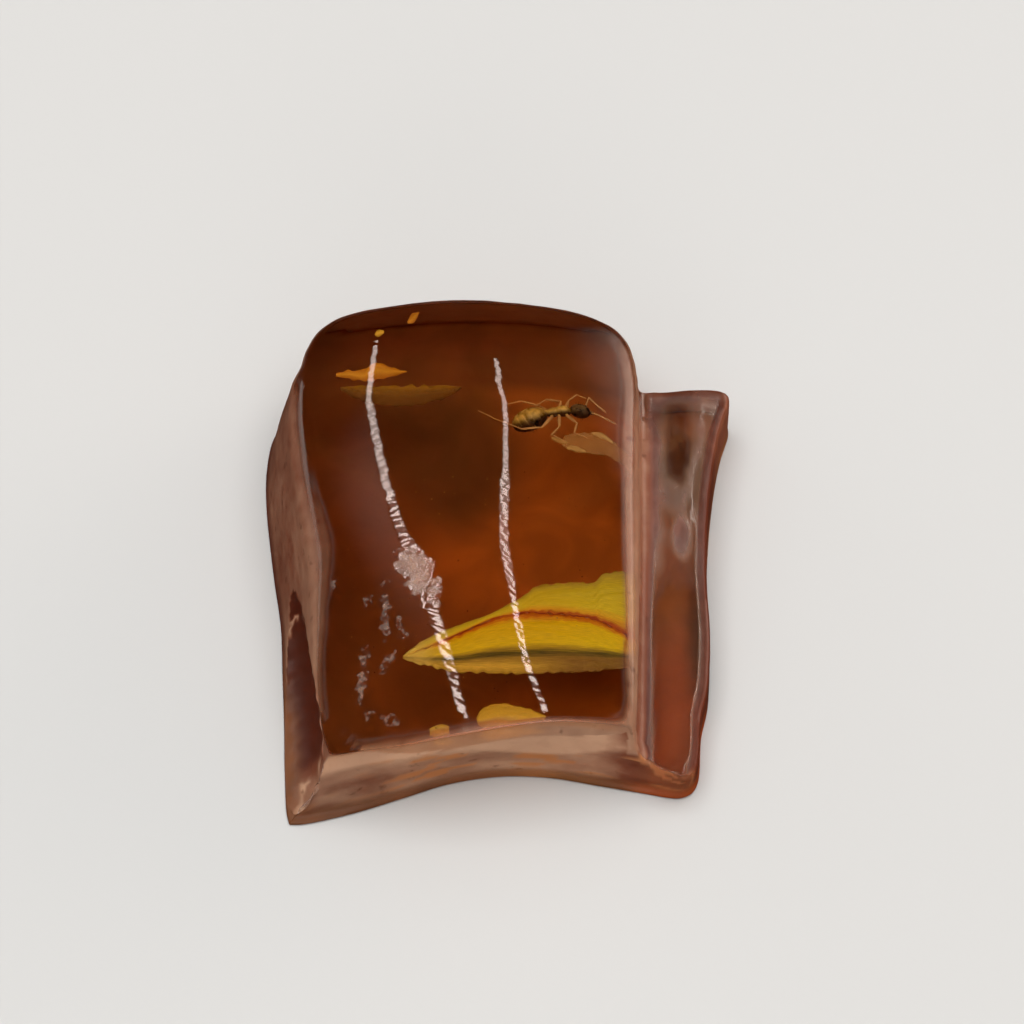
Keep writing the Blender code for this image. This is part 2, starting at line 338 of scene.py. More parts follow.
def blockMiddle():
    # the middle of the plain block's back, which the frame has on its origin
    drawn = [point for row in closedSpline(block["outline"], 2) for point in blockProfile(row, 0)[0]]
    low = Vector([min(point[axis] for point in drawn) for axis in (0, 1)])
    high = Vector([max(point[axis] for point in drawn) for axis in (0, 1)])
    return (low + high) / 2


drawnMiddle = blockMiddle()
frameMiddle = (cadLow + cadHigh) / 2
toFrame = Matrix.Translation((*(frameMiddle.xy - drawnMiddle * mm), cadLow.z)) @ Matrix.Scale(mm, 4)


def chipSpace():
    place = Matrix.Translation(block["chipMiddle"]) @ Matrix.Rotation(block["chipTurn"], 4, "Z")
    return place @ Matrix.Diagonal((*block["chipRadii"], 1))


# etched and bruised patches of the crown, in millimetres: middle, half lengths, turn in degrees, strength
etchedPatches = (
    ((-4.3, -3.25), (0.95, 1.95), 34, 1.0),
    ((-6.0, -5.3), (0.40, 1.9), 2, 0.55),
    ((-5.85, -7.8), (0.36, 0.9), -18, 0.5),
    ((-7.3, -8.4), (0.36, 1.7), -8, 0.55),
    ((-6.9, -10.3), (0.6, 0.3), 25, 0.5),
    ((-5.8, -10.7), (0.8, 0.3), -20, 0.5),
    ((-8.93, -3.36), (0.3, 0.3), 0, 0.7),
    ((-7.03, -4.6), (0.35, 0.5), 0, 0.45),
    ((-5.2, -6.2), (0.35, 0.9), 10, 0.4),
)


def etchAt(point):
    strength = 0.0
    for middle, halves, turn, most in etchedPatches:
        away = Vector((point.x - middle[0], point.y - middle[1]))
        away.rotate(Matrix.Rotation(math.radians(-turn), 2))
        reach = math.hypot(away.x / halves[0], away.y / halves[1])
        reach += 0.45 * ripple(point, 0.5, 2.0)
        strength = max(strength, most * (1 - between(0.3, 1.15, reach)))
    return strength


# the raised crack that wanders down the flange, in millimetres
flangeCrack = ((10.9, 9.9), (11.2, 8.4), (11.0, 6.9), (10.55, 5.7), (10.3, 3.8), (9.75, 2.1))


def awayFromPath(point, path):
    nearest = 1e9
    for start, end in zip(path, path[1:]):
        a, b = Vector(start), Vector(end)
        share = clamp((point.xy - a).dot(b - a) / (b - a).length_squared, 0, 1)
        nearest = min(nearest, (point.xy - a.lerp(b, share)).length)
    return nearest


def ellipse(point, middle, halves, soft=0.35):
    # 1 inside a patch seen from above and 0 outside
    reach = math.hypot((point.x - middle[0]) / halves[0], (point.y - middle[1]) / halves[1])
    return 1 - between(1 - soft, 1 + soft, reach)


def flangeTopAt(point, normal):
    return between(7.5, 8.1, point.x) * between(0.45, 0.8, normal.z) * (1 - between(4.7, 5.2, point.z))


def nearFaceAt(point, normal):
    # how much of the near face this is, its height share and the height share of its crease
    share = point.z / (6.5 - point.x**2 / 33)
    crease = 0.78 - 0.30 * math.exp(-(((point.x - 2.5) / 4) ** 2))
    return between(0.35, 0.7, -normal.y) * between(10.3, 11.0, -point.y), share, crease


def fringeAt(point, inward):
    # the milky fringe that the crown has along its edge, whose cream is partly a painted highlight: 1 at the
    # rim and 0 past the fringe's width
    x, y = point.x, point.y
    right, left = between(5.5, 7.0, x), between(7.0, 8.6, -x)
    width = 0.12 + right * (0.22 + 1.15 * between(3.0, 6.0, y) + 0.55 * (1 - between(-7.5, -5.6, y)))
    nearEdge = between(10.2, 11.0, -y) * (1 - right)
    width += left * 0.42 * (1 - between(-2.0, 3.0, y)) + nearEdge * (0.15 + 0.4 * (1 - between(-2.0, 3.0, x)))
    strength = right * (0.9 - 0.15 * between(3.0, 6.0, y)) * (1 - 0.9 * between(12.0, 13.6, y))
    strength += 0.6 * left * (1 - between(0.0, 4.0, y)) + 0.85 * nearEdge
    inside = inward / (width * (1 + 0.25 * ripple(point, 0.9, 5.0)))
    return min(strength, 1.0) * (1 - between(0.0, 1.0, inside)) ** (1 + 0.5 * right)


# how milky each place is, from 0 clear to 1 matt, and how pale, from -1 rusty to 1 cream
skinLook = {
    "sides": (0.36, 0.25),
    "nearFace": (0.66, 0.85),
    "flangeEdge": (0.78, -0.9),
    "flangeTop": (0.11, -0.42),
    "flangeNearEnd": (-0.05, -0.9),
    "flangeRim": (0.40, -0.25),
    "wall": (0.62, 0.1),
    "chip": (0.34, -1.0),
    "chipLip": (0.55, 0.55),
    # the fringe's cream is partly milkiness and partly a painted highlight along the crown's rim
    "fringe": (0.55, 0.52),
}


def toward(now, target, share):
    return now + (target - now) * share


def nearFaceSkin(point, share, crease):
    # two planes that meet on the crease, streaked along their length, with painted orange glints: thin lines on
    # the lower plane, a line along the rim and the right end
    upper = between(crease - 0.04, crease + 0.04, share)
    streak = ripple((point.x * 0.4 + share * 1.2, share * 5.5, 0), 1.0, 2.5)
    thin = ripple((point.x * 0.55 - share * 1.5, share * 12.0, 0), 1.0, 6.5)
    rightEnd, corner = between(4.6, 7.4, point.x), between(4.5, 7.0, -point.x)
    frost, pale = skinLook["nearFace"]
    frost += 0.2 * upper + 0.1 * streak - 0.2 * rightEnd - 0.25 * corner
    pale += 0.50 * upper + 0.45 * streak + 0.3 * thin - 1.1 * rightEnd
    pale -= 0.2 * corner + 0.5 * between(9.6, 10.4, -point.x)
    paintedGlint = (1 - upper) * between(0.12, 0.3, thin) * between(0.1, 0.25, share)
    paintedGlint += 0.35 * between(7.0, 9.0, point.x) + 0.5 * between(0.9, 0.98, share) * (1 - rightEnd)
    return frost, pale, paintedGlint * (1 - 0.6 * corner)


def flangeTopSkin(point, normal, cloud, fine):
    # clear and rusty at the near end, milky beside the wall, with a clear window beside the raised crack
    nearPart = 1 - between(-4.5, 3.5, point.y)
    strip = (1 - between(8.7, 9.5, point.x)) * between(-4.0, 3.0, point.y)
    grain = ripple((point.x * 1.6, point.y * 0.3, 0), 0.5, 3.5)
    window = ellipse(point + Vector((0.12 * grain, 0, 0)), (9.95, 7.4), (0.7, 2.9), 0.4)
    ridge = 1 - between(0.05, 0.30, awayFromPath(point, flangeCrack) + 0.10 * ripple(point, 0.4, 3.0))
    lip = between(9.9, 10.5, point.y)
    foot = (1 - between(8.3, 8.8, point.x + 0.3 * grain)) * (1 - nearPart)
    rim = max(foot, 0.8 * between(0.06, 0.22, normal.x) * between(10.0, 10.4, point.x))
    frost, pale = skinLook["flangeTop"]
    frost += 0.06 * cloud + 0.05 * fine + (0.15 + 0.08 * grain) * strip - 0.12 * window
    frost += 0.12 * ridge + 0.12 * ellipse(point, (9.7, 4.3), (0.6, 1.1), 0.5) + 0.22 * lip
    frost = toward(frost, skinLook["flangeNearEnd"][0], nearPart)
    frost = toward(frost, skinLook["flangeRim"][0], rim)
    frost += 0.22 * ellipse(point, (10.1, 1.7), (0.5, 1.1), 0.5)
    frost += 0.3 * nearPart * (1 - between(8.25, 8.55, point.x))
    pale += (0.12 + 0.2 * grain) * strip + 0.45 * ridge + 0.4 * lip + 0.2 * fine - 0.55 * window
    pale = toward(pale, skinLook["flangeNearEnd"][1], nearPart)
    return frost, toward(pale, skinLook["flangeRim"][1], rim * nearPart)


def chipSkin(point, fine):
    # dark, with pale fissures and a pale lip, and healed over at the near end
    fissure = 1 - between(0.02, 0.14, abs(ripple((point.x, point.y * 0.45, point.z), 1.3, 3.0)))
    fissure *= between(-0.2, 0.3, ripple(point, 2.4, 8.0))
    healed = between(9.8, 12.6, -point.y)
    lip = between(3.7, 4.5, point.z)
    frost, pale = skinLook["chip"]
    frost = toward(frost + 0.3 * fissure + 0.25 * healed, skinLook["chipLip"][0], lip)
    return frost, toward(pale + 2.0 * fissure + 1.4 * healed, skinLook["chipLip"][1] + 0.2 * fine, lip)


def skinAt(point, normal, polish, chipped, inward):
    # how milky and how pale the surface is, how much painted orange glint it gets, and the polish that is left
    cloud = ripple((point.x, point.y * 0.5, point.z), 2.2, 7.0)
    fine = ripple((point.x, point.y * 0.7, point.z), 0.6, 4.0)
    outerLeft = between(0.3, 0.6, -normal.x) * between(10.0, 11.5, -point.x)
    frost, pale = skinLook["sides"]
    frost += 0.12 * cloud + 0.05 * fine + 0.16 * outerLeft
    pale += 0.2 * cloud + 0.15 * fine + (0.55 * between(0.0, 6.0, -point.y) - 0.05) * outerLeft
    paintedGlint = 0.0
    near, share, crease = nearFaceAt(point, normal)
    if near:
        nearFrost, nearPale, nearGlint = nearFaceSkin(point, share, crease)
        frost, pale, paintedGlint = toward(frost, nearFrost, near), toward(pale, nearPale, near), nearGlint * near
    edge = between(0.4, 0.8, normal.x) * between(8.6, 9.4, point.x)
    frost = toward(frost, skinLook["flangeEdge"][0], edge)
    pale = toward(pale, skinLook["flangeEdge"][1] + 0.7 * between(2.0, 9.0, point.y), edge)
    top = flangeTopAt(point, normal)
    if top:
        topFrost, topPale = flangeTopSkin(point, normal, cloud, fine)
        frost, pale = toward(frost, topFrost, top), toward(pale, topPale, top)
        # a painted orange glow spot on the flange's top
        paintedGlint += 0.7 * top * ellipse(point, (11.5, 9.9), (0.4, 0.5))
    # the step down from the crown to the flange
    wall = between(0.08, 0.35, normal.x) * between(7.0, 7.4, point.x) * (1 - between(8.3, 8.8, point.x))
    wall *= 1 - between(5.4, 5.9, point.z)
    frost = toward(frost, skinLook["wall"][0], wall)
    pale = toward(pale, skinLook["wall"][1] + 0.25 * between(0.0, 6.0, point.y) + 0.2 * fine, wall)
    if chipped:
        frost, pale = chipSkin(point, fine)
        paintedGlint = 0.0
    # on the far side the crown stays clear well over its rounded edge
    over = between(8.0, 10.0, point.y) * between(4.0, 4.6, point.z)
    polish += (1 - polish) * over * between(0.34, 0.46, 0.866 * normal.z - 0.5 * normal.y)
    fringe = 0.0
    if not chipped and point.z > (ledgeHeightAt(point.y) + 0.5 if point.x > 7 else 4.8):
        fringe = fringeAt(point, inward)
        # the fringe's cream, paler toward the near end and on the right rim, is partly a painted highlight
        rimCreamAndHighlight = skinLook["fringe"][1] + 0.3 * between(2.0, -8.0, point.y)
        pale = toward(pale, rimCreamAndHighlight + 0.15 * between(7.2, 7.8, point.x) + 0.25 * fine, fringe)
        # a painted orange glint along the crown's near edge
        paintedGlint += 0.45 * fringe * between(10.3, 11.2, -point.y) * (1 - between(0.0, 3.0, point.x))
        polish *= 1 - 0.8 * fringe * (0.4 + 0.6 * fringe)
    frost = toward(clamp(frost, 0.0, 0.9), skinLook["fringe"][0], fringe)
    return frost, clamp(pale, -1.0, 1.0), clamp(paintedGlint, 0.0, 1.0), polish


# how deep each kind of relief goes, in millimetres
depthOf = {
    "crownSwell": 0.022,
    "crownGrain": 0.002,
    "etching": 0.022,
    "skinSwell": 0.07,
    "skinGrain": 0.02,
    "flangeSwell": 0.06,
    "flangeGrain": 0.015,
    "flangeCrack": 0.10,
    "nearHollow": 0.30,
    "nearStreak": 0.05,
    "chipSwell": 0.03,
    "chipFissure": 0.05,
}


def reliefAt(point, normal, polish, chipped):
    # how far the surface lies inside the plain shape, in millimetres
    crown = depthOf["crownSwell"] * (1 + ripple(point, 4.2, 3.1))
    crown += depthOf["crownGrain"] * ripple(point, 1.5, 8.0)
    etch = etchAt(point) * polish
    crown += etch * depthOf["etching"] * (1 + ripple(point, 0.36, 5.0))
    rough = depthOf["skinSwell"] * (1 + ripple((point.x, point.y * 0.6, point.z), 3.4, 1.3))
    rough += depthOf["skinGrain"] * (1 + ripple(point, 0.9, 2.2))
    onFlange = flangeTopAt(point, normal)
    if onFlange:
        lip = between(9.6, 10.6, point.y)
        broken = onFlange * (1 - lip) * (0.15 + 0.85 * between(-3.5, 0.5, point.y))
        swell = 1 + ripple((point.x * 1.2, point.y * 0.45, point.z), 1.3, 6.0)
        grain = 1 + ripple((point.x * 1.4, point.y * 0.8, point.z), 0.45, 6.0)
        away = between(0.1, 1.1, awayFromPath(point, flangeCrack))
        rough += broken * depthOf["flangeSwell"] * swell
        rough += broken * depthOf["flangeGrain"] * grain
        rough += onFlange * depthOf["flangeCrack"] * away * (1 - lip)
    near, share, crease = nearFaceAt(point, normal)
    if near and not chipped:
        roof = share / crease if share < crease else (1 - share) / (1 - crease)
        hollow = depthOf["nearHollow"] - depthOf["nearHollow"] * clamp(roof, 0, 1)
        rough += near * (hollow - rough) * 0.8
        rough += near * depthOf["nearStreak"] * ripple((point.x * 0.5, share * 4, 0), 1.0, 2.5)
    if chipped:
        strike = (point - Vector((-11.8, -13.6, 1.2))).length
        wave = math.sin(2 * math.pi * strike / block["chipRippleLength"] + 1.5 * ripple(point, 2.5, 4.0))
        rough = chipped * block["chipRippleDepth"] * (1 + wave)
        rough += depthOf["chipSwell"] * (1 + ripple(point, 1.2, 9.0))
        rough += depthOf["chipFissure"] * abs(ripple((point.x, point.y * 0.35, point.z), 0.9, 3.0))
    return rough + (crown - rough) * polish, etch


def makeBlock():
    columns = [blockProfile(row, 1) for row in closedSpline(block["outline"], block["columnsPerStation"])]
    count, rings = len(columns), len(columns[0][0])
    points, polish, inward = ([value for column in columns for value in column[k]] for k in range(3))
    chipped = [0.0] * len(points)
    chip = chipSpace()
    intoChip = chip.inverted()
    for i, point in enumerate(points):
        inside = intoChip @ point
        if inside.length < 1:
            points[i] = chip @ inside.normalized()
            points[i].z = max(points[i].z, 0)
            chipped[i], polish[i] = 1.0, 0.0
    # the crown closes on a point at its middle, and the flat back on one below it
    crownPoint, backPoint = len(points), len(points) + 1
    faces = []
    for i in range(count):
        left, right = i * rings, (i + 1) % count * rings
        faces += [(left + k, right + k, right + k + 1, left + k + 1) for k in range(rings - 1)]
        faces.append((left + rings - 1, right + rings - 1, crownPoint))
    faces += [((i + 1) % count * rings, i * rings, backPoint) for i in range(count)]
    middle = block["crownMiddle"]
    points += [Vector((*middle, crownHeightAt(*middle))), Vector((*middle, 0))]
    polish += [1.0, 0.0]
    chipped += [0.0, 0.0]
    inward += [9.0, 0.0]
    mesh = meshFrom("amberBlock", points, faces)
    moved, etched, skin = [], [], []
    for i, vertex in enumerate(mesh.vertices):
        relief, etch = reliefAt(points[i], vertex.normal, polish[i], chipped[i])
        moved.append(points[i] - vertex.normal * relief * between(0.0, 0.6, points[i].z))
        etched.append(etch)
        skin.append(skinAt(points[i], vertex.normal, polish[i], chipped[i], inward[i]))
    for vertex, place in zip(mesh.vertices, moved):
        place.z = max(place.z, 0)
        place = toFrame @ place
        vertex.co = [clamp(place[axis], cadLow[axis], cadHigh[axis]) for axis in range(3)]
    pointValues(mesh, "etched", etched)
    for name, values in zip(("frost", "pale", "paintedGlint", "polish"), zip(*skin)):
        pointValues(mesh, name, values)
    mesh.shade_smooth()
    mesh.set_sharp_from_angle(angle=math.radians(50))
    return link(bpy.data.objects.new("amber_block", mesh))


amberLook = {
    "ior": 1.54,
    "absorbColour": (0.80, 0.51, 0.04, 1),
    "absorbDensity": 170.0,
    "crownRoughness": 0.012,
    "clearRoughness": 0.06,
    "mattRoughness": 0.42,
    "etchedRoughness": 0.32,
    "etchedClear": 0.70,
    "clear": (0.99, 0.93, 0.84, 1),
    "glint": (1.0, 0.86, 0.78, 1),
    "mattPink": (0.34, 0.098, 0.043, 1),
    "mattCream": (0.72, 0.40, 0.235, 1),
    "mattRust": (0.18, 0.032, 0.009, 1),
    "thinMilk": (0.82, 0.50, 0.30, 1),
    # the orange of the painted glints
    "paintedGlintOrange": (0.78, 0.30, 0.10, 1),
    # polishing ripples on the crown and a fine grain on the skin, in metres
    "rippleDepth": 0.000005,
    "grainDepth": 0.00001,
    # the back through the crown: from the plain brown to warmer and darker patches
    "backBrown": (0.30, 0.10, 0.03, 1),
    "backWarm": (0.62, 0.23, 0.045, 1),
    "backDark": (0.11, 0.025, 0.007, 1),
    "backWine": (0.20, 0.05, 0.024, 1),
    "backGlow": (0.36, 0.058, 0.004, 1),
    # each patch: middle and half lengths in millimetres, softness, turn in degrees, colour
    "backPatches": (
        ((2.5, 4.0), (7.5, 7.5), 0.35, 0, "backWarm"),
        ((-3.2, 7.2), (3.6, 4.6), 0.45, 20, "backDark"),
        ((3.5, -7.0), (6.0, 4.0), 0.4, 0, "backWarm"),
        ((0.0, 20.0), (40.0, 9.0), 0.06, 0, "backWine"),
        ((6.5, 14.5), (5.5, 3.5), 0.5, 0, "backBrown"),
        ((0.0, 24.0), (60.0, 9.6), 0.08, 0, "backBrown"),
        ((-12.0, 4.0), (7.5, 9.0), 0.4, 0, "backWine"),
        ((10.5, -9.5), (3.5, 7.0), 0.4, 0, "backGlow"),
        ((11.8, -3.0), (1.4, 4.5), 0.4, 0, "backDark"),
        ((10.0, 7.4), (1.2, 3.2), 0.4, 0, "backDark"),
    ),
}


def patchNode(tree, middle, halves, soft, turn):
    # 1 inside a patch of the back and 0 outside
    place = toFrame @ Vector((*middle, 0))
    moved = vectorNode(tree, "SUBTRACT", pieceCoords(tree), (place.x, place.y, 0))[0]
    turned = mappingNode(tree, moved, turn=(0, 0, math.radians(-turn)))
    scaled = vectorNode(tree, "MULTIPLY", turned, (1 / (halves[0] * mm), 1 / (halves[1] * mm), 0))[0]
    length = vectorNode(tree, "LENGTH", scaled)["Value"]
    return rangeNode(tree, length, 1 - soft, 1 + soft, 1.0, 0.0)


def backColour(tree, plain):
    colour = amberLook["backBrown"]
    for *patch, name in amberLook["backPatches"]:
        colour = mixColours(tree, patchNode(tree, *patch), colour, amberLook[name])
    cloud = rangeNode(tree, noiseNode(tree, plain, 260, 4, 0.8), 0.3, 0.72, 0.75, 1.2)
    return mixColours(tree, 1.0, colour, cloud, "MULTIPLY")


def amberMaterial():
    made, tree, shader = newMaterial("clear amber with a milky skin")
    plain = mappingNode(tree, pieceCoords(tree))
    x, y, z = splitNode(tree, plain)
    polish, etched, frost = (valueOf(tree, name) for name in ("polish", "etched", "frost"))
    low = rangeNode(tree, z, 0.0002, 0.0012)
    # the skin's colour, from pink brown to cream, where the cream along the crown's rim is partly a painted
    # highlight, with rusty spots and painted orange glints
    mottle = noiseNode(tree, plain, 1500, 5, 0.5)
    pale = mathNode(tree, "ADD", mathNode(tree, "MULTIPLY_ADD", mottle, 0.5, -0.25), valueOf(tree, "pale"))
    skin = mixColours(tree, pale, amberLook["mattPink"], amberLook["mattCream"])
    spots = rangeNode(tree, noiseNode(tree, plain, 900, 4), 0.62, 0.72, 0.0, 0.6)
    rusty = rangeNode(tree, pale, -0.05, -0.6)
    skin = mixColours(tree, mathNode(tree, "MAXIMUM", spots, rusty), skin, amberLook["mattRust"])
    # painted orange glints laid over the skin's colour
    skin = mixColours(tree, valueOf(tree, "paintedGlint"), skin, amberLook["paintedGlintOrange"])
    warm = mixColours(tree, rangeNode(tree, frost, 0.0, 0.05), amberLook["clear"], amberLook["thinMilk"])
    sides = mixColours(tree, rangeNode(tree, frost, 0.06, 0.32), warm, skin)
    sides = mixColours(tree, low, backColour(tree, plain), sides)
    # the etched patches are broken up finely
    crumbs = mathNode(tree, "MULTIPLY_ADD", etched, 0.5, noiseNode(tree, plain, 3000, 3))
    etch = mathNode(tree, "MULTIPLY", rangeNode(tree, crumbs, 0.60, 0.92), rangeNode(tree, etched, 0.0, 0.15))
    speckle = rangeNode(tree, noiseNode(tree, plain, 5200, 2), 0.4, 0.6, 0.35, 1.0)
    etch = mathNode(tree, "MULTIPLY", etch, speckle)
    crown = mixColours(tree, etch, amberLook["clear"], amberLook["mattCream"])
    # the rim turns milky where the crown meets the skin
    colour = mixColours(tree, rangeNode(tree, polish, 0.8, 1.0), sides, crown)
    # the back lets some light through, but not under the flange or along the far edge
    backClear = mathNode(tree, "MULTIPLY", rangeNode(tree, y, 0.0115, 0.0135, 0.45, 0.05),
                         rangeNode(tree, x, 0.0064, 0.0080, 1.0, 0.1))
    clear = mixNumbers(tree, low, backClear, mathNode(tree, "SUBTRACT", 1.0, frost))
    clear = mixNumbers(tree, polish, clear, 1.0)
    clear = mixNumbers(tree, etch, clear, amberLook["etchedClear"])
    rough = rangeNode(tree, frost, 0.0, 0.4, amberLook["clearRoughness"], amberLook["mattRoughness"])
    rough = mixNumbers(tree, polish, rough, amberLook["crownRoughness"])
    rough = mixNumbers(tree, etch, rough, amberLook["etchedRoughness"])
    ripples = noiseNode(tree, mappingNode(tree, pieceCoords(tree), (0.3, 1.0, 1.0), (0, 0, 0.6)), 1700, 1)
    crownNormal = bumpNode(tree, ripples, amberLook["rippleDepth"])
    matt = mathNode(tree, "SUBTRACT", 1.0, polish)
    matt = mathNode(tree, "MULTIPLY", matt, rangeNode(tree, frost, 0.02, 0.3, 0.1, 1.0))
    matt = mathNode(tree, "MAXIMUM", matt, etch)
    grain = noiseNode(tree, plain, 3600, 5)
    normal = bumpNode(tree, grain, amberLook["grainDepth"], Strength=matt, Normal=crownNormal)
    setInputs(tree, shader, {"Base Color": colour, "Transmission Weight": clear, "Roughness": rough,
                             "Normal": normal, "IOR": amberLook["ior"], "Specular Tint": amberLook["glint"]})
    absorb = {"Color": amberLook["absorbColour"], "Density": amberLook["absorbDensity"]}
    inside = addNode(tree, "ShaderNodeVolumeAbsorption", absorb)
    tree.links.new(inside.outputs["Volume"], tree.nodes["Material Output"].inputs["Volume"])
    return made


amber = makeBlock()
amber.data.materials.append(amberMaterial())
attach(amber, "root")
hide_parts("amber_base", "amber_crown")
print("block made:", len(amber.data.vertices), "points")


# each crack is a thin wavy sheet between two edges, in millimetres from the block's drawing
cracks = {
    "gold": {
        "tone": "gold", "bulge": 0.15,
        "far": ((-4.92, -6.65, 5.2), (-3.47, -6.1, 5.2), (-2.1, -5.44, 5.2), (-0.45, -4.61, 5.2),
                (1.0, -4.27, 5.2), (2.97, -4.24, 5.2), (4.73, -4.48, 5.2), (5.84, -4.9, 5.1),
                (7.1, -5.48, 5.0)),
        "near": ((-4.92, -6.72, 5.1), (-3.6, -7.12, 4.9), (-2.1, -7.42, 4.75), (-0.5, -7.5, 4.7),
                 (1.28, -7.55, 4.7), (3.0, -7.52, 4.7), (4.6, -7.42, 4.7), (5.8, -7.27, 4.7),
                 (7.05, -7.05, 4.7)),
    },
    "olive": {
        "tone": "olive", "bulge": 0.08,
        "far": ((-4.92, -6.62, 5.2), (-3.83, -5.74, 5.2), (-2.11, -4.92, 5.2), (-0.46, -4.26, 5.2),
                (1.04, -3.33, 5.2), (2.05, -2.54, 5.1), (3.78, -2.36, 5.1), (4.86, -2.24, 5.1),
                (5.41, -1.72, 5.1), (6.96, -1.41, 5.1)),
        "near": ((-4.92, -6.66, 5.21), (-3.83, -6.24, 5.21), (-2.11, -5.45, 5.21), (-0.46, -4.62, 5.21),
                 (1.04, -4.28, 5.21), (2.05, -4.24, 5.21), (3.78, -4.34, 5.21), (4.86, -4.53, 5.2),
                 (5.41, -4.72, 5.15), (6.96, -5.42, 5.0)),
    },
    "near": {
        "tone": "flake", "bulge": 0.06,
        "far": ((-1.07, -10.0, 4.5), (-0.77, -9.41, 4.5), (0.14, -9.19, 4.5), (1.16, -9.38, 4.5),
                (2.44, -9.88, 4.5)),
        "near": ((-1.05, -10.3, 4.5), (-0.66, -10.7, 4.4), (0.16, -10.65, 4.4), (1.18, -10.48, 4.4),
                 (2.44, -10.1, 4.5)),
    },
    "fleck": {
        "tone": "flake", "bulge": 0.03,
        "far": ((-3.5, -10.6, 4.5), (-3.0, -10.45, 4.5), (-2.5, -10.5, 4.5)),
        "near": ((-3.5, -11.0, 4.4), (-3.0, -11.1, 4.4), (-2.5, -10.9, 4.4)),
    },
    "far orange": {
        "tone": "orange", "bulge": 0.05,
        "far": ((-8.6, 10.3, 5.5), (-8.0, 10.45, 5.5), (-7.2, 10.4, 5.5), (-6.5, 10.9, 5.5),
                (-5.7, 10.5, 5.5), (-4.9, 10.25, 5.5)),
        "near": ((-8.6, 10.1, 5.5), (-8.0, 10.0, 5.4), (-7.2, 9.75, 5.4), (-6.5, 9.8, 5.4),
                 (-5.7, 9.95, 5.4), (-4.9, 10.2, 5.5)),
    },
    "far dull": {
        "tone": "dull", "bulge": 0.05,
        "far": ((-8.3, 9.6, 5.0), (-6.8, 9.55, 5.0), (-5.2, 9.5, 5.0), (-3.6, 9.45, 5.0),
                (-2.15, 9.4, 5.0)),
        "near": ((-8.3, 9.4, 5.0), (-7.2, 8.7, 4.9), (-5.2, 8.25, 4.9), (-3.2, 8.6, 4.9),
                 (-2.15, 9.3, 5.0)),
    },
    "speck a": {
        "tone": "orange", "bulge": 0.01,
        "far": ((-4.95, 13.35, 6.0), (-4.75, 13.7, 6.0), (-4.35, 13.95, 6.0)),
        "near": ((-4.9, 13.2, 6.0), (-4.55, 13.35, 6.0), (-4.3, 13.85, 6.0)),
    },
    "speck b": {
        "tone": "flake", "bulge": 0.01,
        "far": ((-6.65, 12.6, 6.0), (-6.45, 12.9, 6.0), (-6.15, 12.8, 6.0)),
        "near": ((-6.6, 12.5, 6.0), (-6.4, 12.4, 6.0), (-6.15, 12.65, 6.0)),
    },
    "veil": {
        "tone": "veil", "bulge": 0.05,
        "far": ((3.2, 6.7, 5.0), (3.8, 6.85, 5.0), (4.83, 7.0, 5.0), (5.45, 6.88, 5.0),
                (6.49, 6.05, 5.0), (7.15, 5.5, 5.0)),
        "near": ((3.05, 6.0, 4.95), (3.7, 5.8, 4.95), (4.3, 5.7, 4.95), (5.38, 5.65, 4.95),
                 (6.3, 5.25, 4.95), (7.05, 4.8, 4.95)),
    },
    "veil upper": {
        "tone": "bright veil", "bulge": 0.02,
        "far": ((4.7, 6.95, 5.15), (5.2, 7.0, 5.15), (5.9, 6.55, 5.15)),
        "near": ((4.75, 6.8, 5.15), (5.3, 6.6, 5.15), (5.9, 6.35, 5.15)),
    },
    "veil lower": {
        "tone": "bright veil", "bulge": 0.02,
        "far": ((3.3, 6.0, 5.12), (3.8, 6.02, 5.12), (4.35, 5.8, 5.12)),
        "near": ((3.35, 5.8, 5.12), (3.9, 5.68, 5.12), (4.35, 5.66, 5.12)),
    },
    "veil left": {
        "tone": "bright veil", "bulge": 0.02,
        "far": ((2.5, 6.55, 5.0), (2.95, 6.5, 5.0), (3.35, 6.3, 5.0)),
        "near": ((2.5, 6.35, 5.0), (2.9, 6.2, 5.0), (3.3, 6.1, 5.0)),
    },
}
crackSheet = {
    "step": 0.08,
    "finerAcross": 1.4,
    "stepsAlong": (24, 150),
    "stepsAcross": (10, 44),
    "thickness": 0.03,
    "fibreDepth": 0.05,
    "waveDepth": 0.06,
    "ragged": {"flake": 0.3, "orange": 0.3, "bright veil": 0.35, "veil": 0.25},
    # how solid the thin ones look, and the two ends of the gold one
    "thin": {"veil": 0.3, "bright veil": 0.6, "dull": 0.65},
    "brownEnd": (0.26, 0.12, 0.03, 1),
    "paleTip": (0.95, 0.72, 0.20, 1),
}

